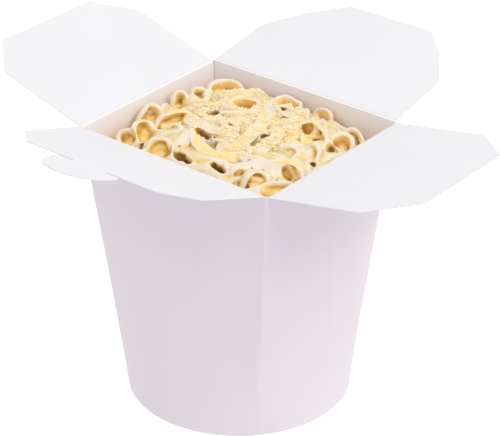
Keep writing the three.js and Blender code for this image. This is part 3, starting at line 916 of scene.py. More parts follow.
def heap_core():
    """Rings of the carton's inside, CORE_GAP mm clear of it, from the base up, then the last
    one shrunk in steps to the middle, 8 mm under the core height but never below CORE_RIM."""
    share = np.arange(180) / 180
    sides = carton_point(share, np.linspace(CORE_FOOT, CORE_RIM - 4, 8)[:, None], BOARD + CORE_GAP)
    rim = carton_point(share, CORE_RIM, BOARD + CORE_GAP)
    top = rim[None] * np.linspace(1.0, 0.03, 60)[:, None, None]
    top[..., 2] = np.maximum(core_height(top[..., 0], top[..., 1]) - 8.0, CORE_RIM)
    rings = np.concatenate([sides, top])
    quads, caps = tube_faces(len(rings), len(share))
    points = rings.reshape(-1, 3)
    # The core's depth marks give it painted shade in its finish.
    marks = {"depth": hidden_from_light(points), "bare": np.full(len(points), 0.4)}
    return make_piece("heap_core", points, quads.tolist() + caps, marks, sharp=80.0)


core = heap_core()
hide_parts("noodles")
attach(core, "carton")

# %% [markdown]
# ## Cream sauce
# The sauce is a skin that sags between the noodles and hides them where it is thick. It is
# the height map of everything laid so far, blurred by about two millimetres, as thick
# liquid would bridge it, and raised a little. Away from its pools it dives under the
# noodles, so its edge is wherever they come out of it.

# %% Pools of sauce
# Where sauce lies thick: x, y, half length, half width, bearing of the length, rise.
POOLS = [(27, -17, 12, 8, 30, 0.7), (22, -22, 8, 6, 40, 0.5), (-14, -17, 8, 4, 110, 0.0),
         (-15, -1, 6, 4, 20, -0.3), (27, 6, 6, 6, 60, 0.5), (4, 6, 7, 6, 0, -0.8),
         (-3, 28, 6, 5, 0, -0.6), (-27, 8, 5, 5, 0, -0.6)]


def pools(x, y):
    """Share of sauce, the sum over the pools of exp(-(a^2 + b^2)^2) with a and b in half
    lengths and no more than 1, and the rise of its surface, summed in the same way."""
    share = np.zeros_like(x)
    rise = np.zeros_like(x)
    for cx, cy, long, short, bearing, lift in POOLS:
        turn = math.radians(bearing)
        a = ((x - cx) * math.cos(turn) + (y - cy) * math.sin(turn)) / long
        b = (-(x - cx) * math.sin(turn) + (y - cy) * math.cos(turn)) / short
        pool = np.exp(-(a ** 2 + b ** 2) ** 2)
        share = share + pool
        rise = rise + lift * pool
    return np.minimum(share, 1.0), rise


print("pools cover", round(float((pools(mesh_x, mesh_y)[0] > 0.5).mean()), 2), "of the mouth")

# %% Sauce skin
SAUCE_DIVE = 6.0
SAUCE_THICK = 1.6


def cream_sauce():
    """Grid over the mouth: z = blurred map + rise - SAUCE_DIVE (1 - m), m being the share of
    sauce, with ragged edges and none before the mouths of the two tunnels. Rings: the upper
    sheet row by row, joined to the lower sheet SAUCE_THICK beneath it."""
    level = blur(blur(height_map, 2.6).T, 2.6).T
    ragged = np.sin(0.55 * mesh_x + 2 * np.sin(0.4 * mesh_y)) * np.sin(0.5 * mesh_y + 1.0)
    share, rise = pools(mesh_x, mesh_y)
    m = smooth_step(0.0, 0.8, share + 0.12 * ragged)
    for name in ("small_tunnel", "big_tunnel"):
        cx, cy, _, up, across, lean, *_ = LOOPS[name]
        out = (mesh_x - cx) * math.cos(FACING) + (mesh_y - cy) * math.sin(FACING)
        out = out + up * math.cos(math.radians(lean))
        aside = np.abs((mesh_y - cy) * math.cos(FACING) - (mesh_x - cx) * math.sin(FACING))
        m = m * (1 - smooth_step(-0.8, 0.6, out) * smooth_step(across + 2.5, across, aside))
    z = level + rise - SAUCE_DIVE * (1 - m)
    upper = np.stack([mesh_x, mesh_y, z], axis=-1)[8:-8, 9:-9]
    lower = upper[:, ::-1] - np.array([0.0, 0.0, SAUCE_THICK])
    return np.concatenate([upper, lower], axis=1)


sauce_rings = cream_sauce()
upper_sheet = sauce_rings[:, :sauce_rings.shape[1] // 2]
sauce_top = np.full_like(height_map, -100.0)
sauce_top[cells(upper_sheet[..., 0], upper_sheet[..., 1])] = upper_sheet[..., 2]
print("sauce from", round(sauce_rings[..., 2].min(), 1), "to", round(sauce_rings[..., 2].max(), 1))

# %% [markdown]
# ## Noodles joined by cream
# Cream fills every crease where two noodles touch. To get that, the noodles and the sauce
# are joined to one body on a fine lattice of half a millimetre, by Blender's voxel remesh.
# First the hollows are pressed into every noodle. Each hollow gets a short length of noodle
# as its floor, because pressed noodles can end up thinner than the lattice sees, and a slab
# closes the underside.

# %% Floors for the hollows, and the underside
FLOOR_TILT = math.radians(30.0)
FILLER_THICK = 3.0


def hollow_floor(spec):
    """A wide noodle across the bottom of a hollow. It runs along E2 through the loop,
    hollow + 1.2 mm behind the rim and 1.8 c^2 more to its ends, tilted by FLOOR_TILT."""
    x, y, drop, up, across, lean, bearing, turn, *_, hollow = spec
    centre, axis, e1, e2 = loop_frame(x, y, drop, lean, bearing, turn)
    c = np.linspace(-1, 1, 14)
    line = centre - np.outer(hollow + 1.2 + 1.8 * c ** 2, axis) + np.outer(across * c, e2)
    wide = np.tile(math.cos(FLOOR_TILT) * e1 - math.sin(FLOOR_TILT) * axis, (len(c), 1))
    return noodle_rings(line, wide, 1.8 * up, 2.2, hollow)


def filler():
    """A slab under the noodles, from the core's height 3 mm down, that closes the bottom."""
    x, y = mesh_x[4:-4:3, 4:-4:3], mesh_y[4:-4:3, 4:-4:3]
    upper = np.stack([x, y, core_height(x, y)], axis=-1)
    lower = upper[:, ::-1] - np.array([0.0, 0.0, FILLER_THICK])
    return np.concatenate([upper, lower], axis=1)


heap = [press_all(rings) for rings in deep + middle + thrown + ribbons + [sauce_rings]]
heap += [press_all(rings, name) for rings, name in zip(loops, LOOPS)]
heap += [press_all(hollow_floor(spec), name) for name, spec in LOOPS.items() if spec[-1]]
heap += [press_all(filler())]
print(len(heap), "closed bodies go into the heap")

# %% Fuse
LATTICE = 0.5


def fused(points, faces):
    """Points (mm) and quads of the outer surface of all the closed bodies together."""
    raw = make_piece("raw_noodles", points, faces)
    remesh = raw.modifiers.new("fuse", "REMESH")
    remesh.mode = "VOXEL"
    remesh.voxel_size = LATTICE * MM
    graph = bpy.context.evaluated_depsgraph_get()
    mesh = raw.evaluated_get(graph).to_mesh()
    found = np.empty(3 * len(mesh.vertices))
    mesh.vertices.foreach_get("co", found)
    corners = np.empty(4 * len(mesh.polygons), dtype=np.int32)
    mesh.loops.foreach_get("vertex_index", corners)
    data = raw.data
    bpy.data.objects.remove(raw)
    bpy.data.meshes.remove(data)
    return found.reshape(-1, 3) / MM, corners.reshape(-1, 4)


def largest_body(points, quads):
    """Without the specks that the lattice leaves inside: points joined by edges pass their
    lowest number on, doubling the reach each time, until every body has one number."""
    a = quads.ravel()
    b = np.roll(quads, -1, axis=1).ravel()
    number = np.arange(len(points))
    before = None
    while before is None or (number != before).any():
        before = number.copy()
        np.minimum.at(number, a, before[b])
        np.minimum.at(number, b, before[a])
        number = number[number]
    keep = number == np.bincount(number).argmax()
    place = np.cumsum(keep) - 1
    return points[keep], place[quads[keep[quads[:, 0]]]]


points, quads = largest_body(*fused(*join_noodles(heap)))
print("fused to one body of", len(points), "points")

# %% [markdown]
# ## Relaxing the surface
# The lattice leaves small steps, and its creases are sharp. Each point moves towards the
# mean of its neighbours, and then nearly as far back, so that creases fill and edges round
# off while nothing shrinks. Slow waves then take away what is too regular, and the tops are
# held under the flaps.

# %% Relax
SMOOTH = 0.55
SWELL = 0.52


def neighbour_mean(values, quads):
    """Mean over the neighbours of each point, along the quads' edges. An inner edge belongs
    to two quads and counts twice for both its ends, so the mean stays even."""
    a = quads.ravel()
    b = np.roll(quads, -1, axis=1).ravel()
    count = np.bincount(a, minlength=len(values)) + np.bincount(b, minlength=len(values))
    total = [np.bincount(a, column[b], len(values)) + np.bincount(b, column[a], len(values))
             for column in values.T]
    return (np.array(total) / count).T


def relaxed(points, quads, rounds):
    """p + SMOOTH (mean - p), then p - SWELL (mean - p), over and over."""
    for _ in range(rounds):
        points = points + SMOOTH * (neighbour_mean(points, quads) - points)
        points = points - SWELL * (neighbour_mean(points, quads) - points)
    return points


def lumpy(points):
    """Adds slow waves along each axis, whose phases are waves along the other two."""
    x, y, z = points.T
    waves = [0.20 * np.sin(0.55 * y + 1.7 * np.sin(0.31 * z) + 0.4 * x),
             0.20 * np.sin(0.5 * x + 1.5 * np.sin(0.4 * z) - 0.45 * y),
             0.25 * np.sin(0.45 * x + 1.6 * np.sin(0.3 * y)) * np.sin(0.5 * y + 0.3 * x)]
    return points + np.stack(waves, axis=1)


points = kept_under(lumpy(relaxed(points, quads, 2)), 0.8)
print("relaxed heap from", round(points[:, 2].min(), 1), "to", round(points[:, 2].max(), 1), "mm")

# %% [markdown]
# ## Marks that the finish reads
# The finish needs to know four things about a point: how deep it lies in the heap, whether
# it is inside a loop or on a ribbon that the cream has run off, how far it stands out of its
# surroundings, where cream is thin, and how much sauce lies there. From depth and the insides
# of loops the finish paints shade and a glow. Each is one number a point, kept on the mesh, so
# that the pattern follows the noodles exactly.

# %% Ridges, and the insides of loops
def standing_out(points, quads):
    """How far each point stands out of the mean of its neighbours along the surface's
    normal, as a share of its largest common value, evened out over three rounds."""
    across = np.cross(points[quads[:, 2]] - points[quads[:, 0]],
                      points[quads[:, 3]] - points[quads[:, 1]])
    corners = quads.ravel()
    normal = np.stack([np.bincount(corners, np.repeat(c, 4), len(points)) for c in across.T], axis=1)
    normal /= np.linalg.norm(normal, axis=1)[:, None]
    out = ((points - neighbour_mean(points, quads)) * normal).sum(axis=1)[:, None]
    for _ in range(3):
        out = neighbour_mean(out, quads)
    return out[:, 0] / np.percentile(out, 95)


def inside_loops(points):
    """1 inside a loop and behind its rim: q < 0.92 and t between 0 and 9 mm."""
    share = np.zeros(len(points))
    for x, y, drop, up, across, lean, bearing, turn, *_ in LOOPS.values():
        t, q = in_frame(points, *loop_frame(x, y, drop, lean, bearing, turn), up, across)
        behind = smooth_step(-0.2, 1.2, t) * smooth_step(10.0, 8.0, t)
        share = np.maximum(share, smooth_step(1.04, 0.92, q) * behind)
    return share


ridge = standing_out(points, quads)
in_loops = inside_loops(points)
print(round(100 * float((ridge > 0.5).mean())), "% of the points are on ridges and",
      round(100 * float((in_loops > 0.5).mean()), 1), "% inside loops")

# %% Marks for the noodle finish
GOLDEN = {"long_front": 1.0, "diagonal": 0.9, "under_front": 0.5, "centre_left": 0.4,
          "right_side": 0.6, "back_over": 0.5, "left_in": 0.6}


def golden_ribbons(points):
    """For the ribbons that the cream has run off: their share, within 1.4 mm of the ribbon's
    middle line, fading out at 2.6 mm, and not at the ends."""
    share = np.zeros(len(points))
    for name, rings in zip(RIBBONS, ribbons):
        if name in GOLDEN:
            line = rings.mean(axis=1)[6:-6:2]
            away = np.linalg.norm(points[:, None, :] - line[None, :, :], axis=2).min(axis=1)
            share = np.maximum(share, GOLDEN[name] * smooth_step(2.6, 1.4, away))
    return share


def noodle_marks(points, ridge, in_loops):
    """depth (below the skin, in mm, from which the finish paints shade), the bare share (pasta
    without cream on ribbons, and painted gold shade inside loops), ridge (how far a point stands
    out) and sauce (its share where the point is within a millimetre of the sheet)."""
    x, y, z = points.T
    share, _ = pools(x, y)
    creamy = share * smooth_step(1.2, 0.2, np.abs(z - sauce_top[cells(x, y)]))
    bare = np.maximum(in_loops * (1 - 0.9 * creamy), golden_ribbons(points))
    return {"depth": hidden_from_light(points), "bare": bare, "ridge": ridge, "sauce": creamy}


marks = noodle_marks(points, ridge, in_loops)
for name, values in marks.items():
    print(name, "has a middle value of", round(float(np.median(values)), 2))

# %% Creamed noodles
creamed = make_piece("creamed_noodles", points, quads.tolist(), marks, sharp=180.0)
# The flat underside needs far fewer faces than the lattice gives it.
QUADS_KEPT = 95000
thin = creamed.modifiers.new("thin", "DECIMATE")
thin.ratio = QUADS_KEPT / len(creamed.data.polygons)
height_map[:] = core_height(mesh_x, mesh_y)
np.maximum.at(height_map, cells(points[:, 0], points[:, 1]), points[:, 2])
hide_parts("noodles")
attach(creamed, "carton")

# %% [markdown]
# ## Grated cheese
# Thousands of fine shreds lie in drifts on the crown of the heap. Particles could scatter
# them, but real mesh keeps every shred in any renderer and lets it rest on what is under
# it. Each is a curved three-sided sliver of 14 triangles, and all of them are worked out
# together: one array holds every shred's length, one its bow, and so on. They are laid in
# rounds, so that later ones rest on earlier ones and the drifts grow fluffy.

# %% Where the cheese falls
# The drifts: x, y, spread, and share of the shreds in any unit.
CHEESE = [(-16, 8, 8, 0.18), (0, 5, 8, 0.22), (6, 22, 7, 0.14), (-20, 22, 7, 0.12),
          (13, -3, 7, 0.12), (-30, 4, 6, 0.06), (-8, 32, 8, 0.10), (18, 6, 6, 0.06),
          (-27, 31, 5, 0.07), (-17, 38, 4, 0.03)]


def cheese_places(count, rng):
    """x and y of the shreds that stay. They fall as bells about the drifts. Patches of sines
    thin them out, two thirds roll off the tops of the noodles, and none stick in a hole."""
    share = np.array(CHEESE)[:, 3]
    drifts = np.array(CHEESE)[rng.choice(len(CHEESE), count, p=share / share.sum())]
    x = drifts[:, 0] + rng.normal(0, 1, count) * drifts[:, 2]
    y = drifts[:, 1] + rng.normal(0, 1, count) * drifts[:, 2] * 0.9
    level = blur(blur(height_map, 4.0).T, 4.0).T
    proud = height_map[cells(x, y)] - level[cells(x, y)]
    patchy = np.sin(0.31 * x + 2 * np.sin(0.23 * y)) * np.sin(0.37 * y + 1.5 * np.sin(0.29 * x))
    inside = (np.abs(x) < 44) & (np.abs(y) < 38)
    stays = inside & (rng.random(count) < 0.40 + 1.1 * patchy)
    stays &= rng.random(count) > 0.65 * smooth_step(0.3, 1.3, proud)
    stays &= rng.random(count) > smooth_step(-0.9, -2.2, proud)
    return x[stays], y[stays]


cheese_x, cheese_y = cheese_places(24000, rng)
print(len(cheese_x), "of 24000 shreds stay")

# %% Laying the shreds on one another
ROUNDS = 40


def pile_up(x, y, length, thick, turn):
    """Heights of the shreds, laid in ROUNDS groups: each rests on the mean of the map under
    its middle and near its two ends, and raises the map there to its own top."""
    z = np.empty(len(x))
    for group in np.array_split(np.arange(len(x)), ROUNDS):
        tips = np.linspace(-0.7, 0.7, 3)[None, :] * length[group][:, None]
        cell = cells(x[group][:, None] + tips * np.cos(turn[group])[:, None],
                     y[group][:, None] + tips * np.sin(turn[group])[:, None])
        z[group] = np.mean(height_map[cell], axis=1) + thick[group] * 0.5
        top = np.broadcast_to((z[group] + thick[group] * 0.1)[:, None], tips.shape)
        np.maximum.at(height_map, cell, top)
    return z


print("laid in", ROUNDS, "groups of", math.ceil(len(cheese_x) / ROUNDS), "or one less")

# %% Cheese shreds
def cheese_shreds(x, y, rng):
    """Shred: c(t) = centre + L t along + bow L (t^2 - 1/3) up, t from -1 to 1, with a
    three-sided section that tapers as 1 - 0.45 t^2, tilted up and turned in plan. Arrays are
    shred x ring x corner."""
    count = len(x)
    length = 0.2 + 0.65 * rng.random(count) ** 2.2
    thick = 0.12 + 0.13 * rng.random(count)
    turn = rng.random(count) * 2 * np.pi
    tilt = rng.normal(0, 0.5, count)
    roll = rng.random(count) * np.pi
    bow = rng.normal(0, 0.45, count)
    z = pile_up(x, y, length, thick, turn)
    x, y, z, length, thick, turn, tilt, roll, bow = (
        value[:, None, None] for value in (x, y, z, length, thick, turn, tilt, roll, bow))
    t = np.linspace(-1, 1, 3)[None, :, None]
    corner = np.arange(3) * 2 * np.pi / 3 + roll
    swell = thick * (1 - 0.45 * t ** 2)
    along = length * t + 0 * corner
    side = swell * np.cos(corner) * 1.4
    up = swell * np.sin(corner) + bow * length * (t ** 2 - 0.33)
    out = along * np.cos(tilt) - up * np.sin(tilt)
    rise = along * np.sin(tilt) + up * np.cos(tilt)
    points = np.stack([x + out * np.cos(turn) - side * np.sin(turn),
                       y + out * np.sin(turn) + side * np.cos(turn), z + rise], axis=-1)
    points = kept_under(points.reshape(-1, 3), 0.2, 0.6)
    first = 9 * np.arange(count)[:, None, None]
    quads, caps = tube_faces(3, 3)
    faces = (quads + first).reshape(-1, 4).tolist() + (np.array(caps) + first).reshape(-1, 3).tolist()
    tint = np.repeat(rng.random(count), 9)
    return make_piece("cheese_shreds", points, faces, {"tint": tint}, sharp=60.0)


cheese = cheese_shreds(cheese_x, cheese_y, rng)
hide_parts("noodles")
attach(cheese, "carton")

# %% [markdown]
# ## Cracked pepper
# A few dark specks, about a millimetre across, and finer dust that hardly shows. Each is an
# irregular six-sided crumb with a point above and below, made the same way as the shreds:
# all crumbs in one array.

# %% Pepper
# Places of the big specks, in x and y, on the open sauce.
PEPPER = [(20.1, -17.7), (24.9, -21.8), (30.2, -21.4), (38.9, -23.3), (-3.4, -11.6), (-3.8, -13.4),
          (41.6, 20.3), (8, -18), (-12, -24)]
SPECK = 0.5


def pepper_specks(count, rng):
    """Bipyramids of random radii: six points round the middle and two poles each. The big
    specks have a radius of SPECK, and count smaller ones fall anywhere."""
    x, y = np.array(PEPPER).T
    x = np.concatenate([x, rng.uniform(-38, 42, count)])
    y = np.concatenate([y, rng.uniform(-34, 36, count)])
    total = len(x)
    z = height_map[cells(x, y)] + 0.1
    size = np.concatenate([np.full(len(PEPPER), SPECK), 0.12 + 0.12 * rng.random(count)])
    turn = np.arange(6)[None, :] * np.pi / 3 + rng.random(total)[:, None] * 6
    radius = size[:, None] * (0.7 + 0.5 * rng.random((total, 6)))
    rise = size[:, None] * rng.normal(0, 0.15, (total, 6))
    ring = np.stack([radius * np.cos(turn), radius * np.sin(turn), rise], axis=-1)
    pole = np.zeros((total, 1, 3))
    pole[:, 0, 2] = size * 0.7
    points = np.concatenate([ring, pole, -pole], axis=1) + np.stack([x, y, z], axis=-1)[:, None, :]
    i = np.arange(6)
    j = (i + 1) % 6
    upper = np.stack([i, j, 0 * i + 6], axis=1)
    lower = np.stack([j, i, 0 * i + 7], axis=1)
    faces = np.concatenate([upper, lower])[None] + 8 * np.arange(total)[:, None, None]
    points = kept_under(points.reshape(-1, 3), 0.1, 0.4)
    return make_piece("pepper_specks", points, faces.reshape(-1, 3).tolist(), sharp=30.0)


pepper = pepper_specks(46, rng)
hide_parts("noodles")
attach(pepper, "carton")

# %% [markdown]
# ## Writing materials as sums
# A material is a small sum over a few patterns. Wiring it by hand takes a dozen lines a sum,
# so `Value` wraps one output of the node tree: `0.5 + 0.2 * speckle` adds the Math nodes
# itself. `Nodes` adds any other node from its type, its settings and what goes into its
# sockets, for a material as for the sky. A small tree, thrown away again, shows them at work.

# %% Values that add up
class Value:
    """One number that varies over a surface. +, - and * add Math nodes, on either side."""

    def __init__(self, nodes, socket):
        self.nodes = nodes
        self.socket = socket

    def math(self, operation, first, second):
        """The Math node's result for the two, each a Value or a number."""
        node = self.nodes.node("ShaderNodeMath", {"operation": operation}, {0: first, 1: second})
        return Value(self.nodes, node.outputs[0])

    def __add__(self, other):
        return self.math("ADD", self, other)

    def __radd__(self, other):
        return self.math("ADD", other, self)

    def __sub__(self, other):
        return self.math("SUBTRACT", self, other)

    def __rsub__(self, other):
        return self.math("SUBTRACT", other, self)

    def __mul__(self, other):
        return self.math("MULTIPLY", self, other)

    def __rmul__(self, other):
        return self.math("MULTIPLY", other, self)

    def clamp(self):
        """The smaller of 1 and the larger of 0 and the value."""
        return self.math("MINIMUM", self.math("MAXIMUM", self, 0.0), 1.0)


# %% Adding nodes
class Nodes:
    """A node tree under construction."""

    def __init__(self, tree):
        self.tree = tree

    def node(self, kind, settings, inputs):
        """Adds a node: its settings first, then values or links for its sockets."""
        node = self.tree.nodes.new(kind)
        for key, value in settings.items():
            if key == "stops":
                ramp = node.color_ramp
                while len(ramp.elements) < len(value):
                    ramp.elements.new(0.5)
                for element, (place, colour) in zip(ramp.elements, value):
                    element.position = place
                    element.color = (*colour, 1.0)
            else:
                setattr(node, key, value)
        for key, value in inputs.items():
            self.feed(node.inputs[key], value)
        return node

    def feed(self, socket, value):
        """Links a Value or an output to a socket, or sets the socket's own number."""
        if isinstance(value, Value):
            value = value.socket
        if isinstance(value, bpy.types.NodeSocket):
            self.tree.links.new(value, socket)
        else:
            socket.default_value = value

    def ramp(self, value, stops):
        """The colour that the stops, pairs of place and colour, give for the value."""
        node = self.node("ShaderNodeValToRGB", {"stops": stops}, {"Fac": value})
        return node.outputs["Color"]


trial = bpy.data.node_groups.new("trial", "ShaderNodeTree")
nodes = Nodes(trial)
speckle = Value(nodes, nodes.node("ShaderNodeTexNoise", {}, {"Scale": 5.0}).outputs["Fac"])
total = 0.5 + 0.2 * speckle
print("0.5 + 0.2 * speckle leaves by", total.socket.node.name, "of", len(trial.nodes), "nodes")
bpy.data.node_groups.remove(trial)

# %% A finish and its patterns
class Finish(Nodes):
    """A material under construction, with its Principled shader."""

    def __init__(self, name, **constants):
        self.material = bpy.data.materials.new(name)
        self.material.use_nodes = True
        super().__init__(self.material.node_tree)
        self.shader = self.tree.nodes["Principled BSDF"]
        for socket, value in constants.items():
            self.shader.inputs[socket.replace("_", " ")].default_value = value

    def mark(self, name):
        """The number that the mesh keeps at each point under this name."""
        node = self.node("ShaderNodeAttribute", {"attribute_name": name}, {})
        return Value(self, node.outputs["Fac"])

    def place(self):
        """Where the point lies on the object, in metres."""
        return self.node("ShaderNodeTexCoord", {}, {}).outputs["Object"]

    def noise(self, scale, detail=3.0, rough=0.5, warp=0.0):
        """Clouds from 0 to 1, with about that many a metre."""
        node = self.node("ShaderNodeTexNoise", {}, {
            "Vector": self.place(), "Scale": scale, "Detail": detail, "Roughness": rough,
            "Distortion": warp})
        return Value(self, node.outputs["Fac"])

    def step(self, value, low, high):
        """The soft step from low to high, as smooth_step gives it for arrays."""
        node = self.node("ShaderNodeMapRange", {"interpolation_type": "SMOOTHSTEP"},
                         {"Value": value, "From Min": low, "From Max": high})
        return Value(self, node.outputs["Result"])

    def mix(self, share, first, second):
        """first (1 - share) + second share, each a colour or an output."""
        colours = [(*c, 1.0) if isinstance(c, tuple) else c for c in (first, second)]
        node = self.node("ShaderNodeMix", {"data_type": "RGBA"},
                         {0: share, 6: colours[0], 7: colours[1]})
        return node.outputs[2]

    def bump(self, height, strength, distance):
        """Small relief in the shading, from a height of 0 to 1 that stands for distance."""
        node = self.node("ShaderNodeBump", {}, {"Height": height, "Strength": strength,
                                                "Distance": distance})
        self.feed(self.shader.inputs["Normal"], node.outputs["Normal"])

    def show(self, **values):
        """Feeds the shader's sockets and gives back the finished material."""
        for key, value in values.items():
            self.feed(self.shader.inputs[key.replace("_", " ")], value)
        return self.material


def cover(thing, material):
    """Gives the whole piece one material."""
    thing.data.materials.clear()
    thing.data.materials.append(material)
    print(thing.name, "is finished in", material.name)


# %% [markdown]
# ## Paperboard
# Food board is white, smooth and matte, with a coating that only just catches the light.
# It has a fine fibre, long soft clouds in its tone, and, inside, a faint warm tint just
# above the food, where a painted glow also lies, with painted shade down each inner corner.
# Noise on object coordinates gives the first two at their real size, and the marks kept on
# the wall's mesh tell inside from outside, so one finish serves all.

# %% Paperboard finish
def paperboard():
    """White with clouds, flecks, a warm tint inside near the food's edge, a painted glow there and
    painted shade as a darker line down each inner corner."""
    finish = Finish("paperboard_white", Specular_IOR_Level=0.35, Sheen_Weight=0.05,
                    Emission_Strength=1.0)
    clouds = finish.noise(28.0, 3.0, 0.5)
    fibre = finish.noise(900.0, 4.0, 0.65, 0.6)
    fleck = finish.step(finish.noise(420.0, 2.0, 0.5), 0.70, 0.78)
    inside = finish.mark("inside")
    split = finish.node("ShaderNodeSeparateXYZ", {}, {"Vector": finish.place()})
    height = Value(finish, split.outputs["Z"])
    warm_tint = inside * finish.step(height, 0.1195, 0.112) * (0.55 + 0.5 * clouds)
    white = finish.mix((clouds * 1.4 - 0.2).clamp(), (0.762, 0.757, 0.768), (0.792, 0.788, 0.798))
    white = finish.mix(fleck * 0.08, white, (0.66, 0.64, 0.62))
    white = finish.mix(warm_tint * 0.55, white, (0.82, 0.745, 0.60))
    # Painted shade: a darker line down each inner corner.
    white = finish.mix(finish.mark("crease") * 0.6, white, (0.36, 0.32, 0.33))
    # Painted glow: emission on the inside, above the food, stands in for light that comes through the
    # thin board.
    through = finish.mix(inside * finish.step(height, 0.100, 0.112), (0.0, 0.0, 0.0),
                         (0.092, 0.050, 0.040))
    finish.bump(fibre * 0.7 + clouds * 0.6, 0.16, 0.0002)
    return finish.show(Base_Color=white, Roughness=0.56 + 0.14 * fibre - 0.12 * warm_tint,
                       Emission_Color=through)


board = paperboard()
for thing in [carton, base] + flap_sheets:
    cover(thing, board)

# %% [markdown]
# ## Noodles and sauce
# Boiled noodles in cream are pale where the sauce coats them and golden where they are bare;
# inside the loops that gold is painted shade. The colour also goes by how deep a point lies in
# the heap, as painted shade: cream at the skin, gold a few millimetres down, brown in the gaps,
# with a painted glow in the hollows. Light that enters them comes out about a millimetre away,
# which softens every edge.

# %% Noodle finish
BLACK = (0.0, 0.0, 0.0)
# Colour of the pasta from its palest, then painted shade down to the darkest gap.
GOLD_TO_SHADE = [(0.0, (0.80, 0.69, 0.49)), (0.25, (0.79, 0.66, 0.39)), (0.5, (0.79, 0.59, 0.23)),
        (0.78, (0.60, 0.34, 0.075)), (1.0, (0.27, 0.105, 0.014))]


def noodle_finish(name, coat):
    """The pasta's colour goes by how deep and bare a point is; depth, hollows between ridges and the
    insides of loops make it painted shade, down to brown. Cream covers it by coat times its
    share, which sauce and ridges raise and depth and bareness lower."""
    finish = Finish(name, Emission_Strength=1.0, Subsurface_Weight=0.35, Subsurface_Scale=0.0012,
                    Subsurface_Radius=(1.0, 0.75, 0.42), Specular_IOR_Level=0.5)
    depth = finish.mark("depth")
    bare = finish.mark("bare")
    ridge = finish.mark("ridge")
    sauce = finish.mark("sauce")
    blotch = finish.noise(95.0, 3.0, 0.55, 0.4)
    fine = finish.noise(420.0, 3.0, 0.6)
    # Painted shade: the deeper a point lies under the skin, the darker its colour.
    sunk_shade = finish.step(depth, 0.5, 11.0)
    gold_and_shade = (0.80 * sunk_shade + 0.20 * bare + 0.30 * (blotch - 0.5) - 0.28 * ridge - 0.15 * sauce
            + 0.24).clamp()
    pasta = finish.ramp(gold_and_shade, GOLD_TO_SHADE)
    coated = finish.step(blotch + 0.36 * ridge + 0.5 * sauce - 0.35 * bare - 0.5 * sunk_shade, 0.40, 0.80)
    cream = finish.mix(blotch, (0.81, 0.685, 0.52), (0.835, 0.74, 0.63))
    colour = finish.mix((coated * coat).clamp(), pasta, cream)
    finish.bump(fine * 0.4 + blotch, 0.3, 0.0005)
    # Painted glow: emission in the hollows and on bare pasta, for light that has come through the
    # pasta.
    painted_glow = finish.mix(((0.6 * bare + 0.9 * sunk_shade) * (1.15 - 1.15 * sunk_shade)).clamp(), BLACK,
                      (0.17, 0.115, 0.026))
    return finish.show(Base_Color=colour, Roughness=0.30 + 0.22 * fine, Coat_Weight=0.25 * coated,
                       Emission_Color=painted_glow)


cover(creamed, noodle_finish("creamed_noodle", 0.95))
cover(core, noodle_finish("deep_noodle", 0.0))

# %% [markdown]
# ## Cheese and pepper
# Grated hard cheese is pale yellow, each shred a little different, which one random number
# a shred gives. Pepper is black skin and brown inside, mixed by a fine noise.

# %% Cheese and pepper finishes
def cheese_finish():
    """Two yellows mixed by the shred's own tint, with a little light let through and a painted glow.
    """
    finish = Finish("grated_cheese", Subsurface_Weight=0.2, Subsurface_Scale=0.0005,
                    Subsurface_Radius=(1.0, 0.8, 0.45), Emission_Strength=1.0)
    tint = finish.mark("tint")
    grains = finish.noise(900.0, 3.0, 0.6)
    colour = finish.mix(tint, (0.90, 0.77, 0.48), (0.92, 0.83, 0.62))
    finish.bump(grains, 0.3, 0.0002)
    # Painted glow: emission stands in for light that scatters from shred to shred, so that the shade
    # between them is not dark.
    painted_glow = finish.mix(tint, (0.085, 0.064, 0.027), (0.10, 0.08, 0.04))
    return finish.show(Base_Color=colour, Roughness=0.5 + 0.2 * grains, Emission_Color=painted_glow)


def pepper_finish():
    """Nearly black, with brown grains."""
    finish = Finish("cracked_pepper")
    grains = finish.noise(1500.0, 3.0, 0.6)
    colour = finish.mix(grains, (0.020, 0.014, 0.010), (0.11, 0.075, 0.045))
    return finish.show(Base_Color=colour, Roughness=0.6 + 0.2 * grains)


cover(cheese, cheese_finish())
cover(pepper, pepper_finish())

# %% [markdown]
# ## Floor, light and camera
# A plain white floor and a white sky give the soft, almost shadowless light of a catalogue
# picture. One large lamp above and to the right of the box makes the right-hand panel a
# little lighter than the left one. The floor doesn't count in the light that falls on the
# box, because the sky's lower half already stands for it.

# %% Floor
FLOOR_HALF = 4.0
FLOOR_Z = -0.0002


def studio_floor():
    """A square of FLOOR_HALF metres each way from the box, just under its foot."""
    mesh = bpy.data.meshes.new("floor")
    corners = [(-1, -1), (1, -1), (1, 1), (-1, 1)]
    mesh.from_pydata([(FLOOR_HALF * x, FLOOR_HALF * y, FLOOR_Z) for x, y in corners], [],
                     [(0, 1, 2, 3)])
    floor = bpy.data.objects.new("floor", mesh)
    bpy.context.scene.collection.objects.link(floor)
    floor.visible_diffuse = False
    finish = Finish("studio_white", Roughness=0.9, Emission_Strength=0.45)
    tone = finish.noise(3.0)
    white = finish.mix(tone, (0.93, 0.93, 0.93), (0.95, 0.95, 0.95))
    finish.feed(finish.shader.inputs["Emission Color"], (1.0, 1.0, 1.0, 1.0))
    cover(floor, finish.show(Base_Color=white))
    return floor


floor = studio_floor()

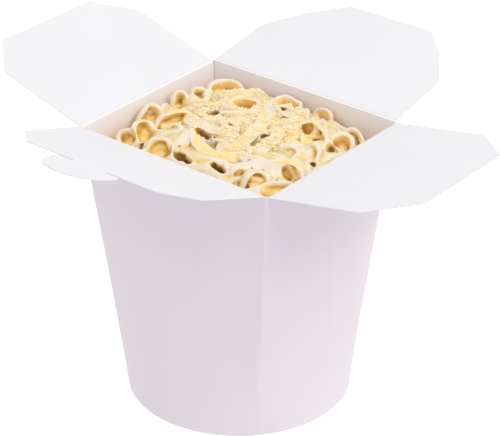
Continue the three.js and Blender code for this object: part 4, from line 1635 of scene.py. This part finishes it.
# %% Sky and lamp
def sky(above, below):
    """The light from all round: one colour from above the floor's level, one from below.
    The ramp between them reads half the upward part of the direction, plus a half."""
    world = bpy.data.worlds.new("studio")
    bpy.context.scene.world = world
    world.use_nodes = True
    nodes = Nodes(world.node_tree)
    direction = nodes.node("ShaderNodeTexCoord", {}, {}).outputs["Generated"]
    split = nodes.node("ShaderNodeSeparateXYZ", {}, {"Vector": direction})
    upward = Value(nodes, split.outputs["Z"])
    light = nodes.ramp(upward * 0.5 + 0.5, [(0.42, below), (0.58, above)])
    nodes.feed(world.node_tree.nodes["Background"].inputs["Color"], light)


def lamp(name, place, target, size, power, colour):
    """A square soft box of that size in metres, turned to face the target."""
    light = bpy.data.lights.new(name, "AREA")
    light.size = size
    light.energy = power
    light.color = colour
    thing = bpy.data.objects.new(name, light)
    bpy.context.scene.collection.objects.link(thing)
    toward = Vector(target) - Vector(place)
    thing.rotation_euler = toward.to_track_quat("-Z", "Y").to_euler()
    thing.location = place
    print(name, "of", power, "watts,", round(toward.length, 2), "metres from the box")


sky((0.92, 0.915, 0.925), (0.93, 0.81, 0.91))
lamp("soft_box_right", (1.1, 0.1, 1.3), (0, 0, 0.1), 0.9, 9.0, (1.0, 1.0, 1.0))

# %% Camera
CAMERA_PLACE = Vector((0.5343, -0.6502, 0.5361))
CAMERA_PITCH = 28.53
CAMERA_AZIMUTH = 39.09
# Focal length in pixels, for a render that is this many pixels wide.
FOCAL_PIXELS = 2246.1
PICTURE_WIDTH = 500.0
SENSOR = 36.0


def studio_camera():
    """Looks along minus `back`, the unit vector of the azimuth and the pitch, upright."""
    a = math.radians(CAMERA_AZIMUTH)
    e = math.radians(CAMERA_PITCH)
    back = Vector((math.sin(a) * math.cos(e), -math.cos(a) * math.cos(e), math.sin(e)))
    right = Vector((math.cos(a), math.sin(a), 0.0))
    up = back.cross(right)
    turn = Matrix((right, up, back)).transposed()
    data = bpy.data.cameras.new("camera")
    data.sensor_width = SENSOR
    data.sensor_fit = "HORIZONTAL"
    data.lens = FOCAL_PIXELS / PICTURE_WIDTH * SENSOR
    data.clip_start = 0.05
    thing = bpy.data.objects.new("camera", data)
    bpy.context.scene.collection.objects.link(thing)
    thing.location = CAMERA_PLACE
    thing.rotation_euler = turn.to_euler()
    print("lens of", round(data.lens, 1), "mm,", round(CAMERA_PLACE.length, 2), "m from the box")
    return thing


bpy.context.scene.camera = studio_camera()
bpy.context.scene.view_settings.view_transform = "Standard"
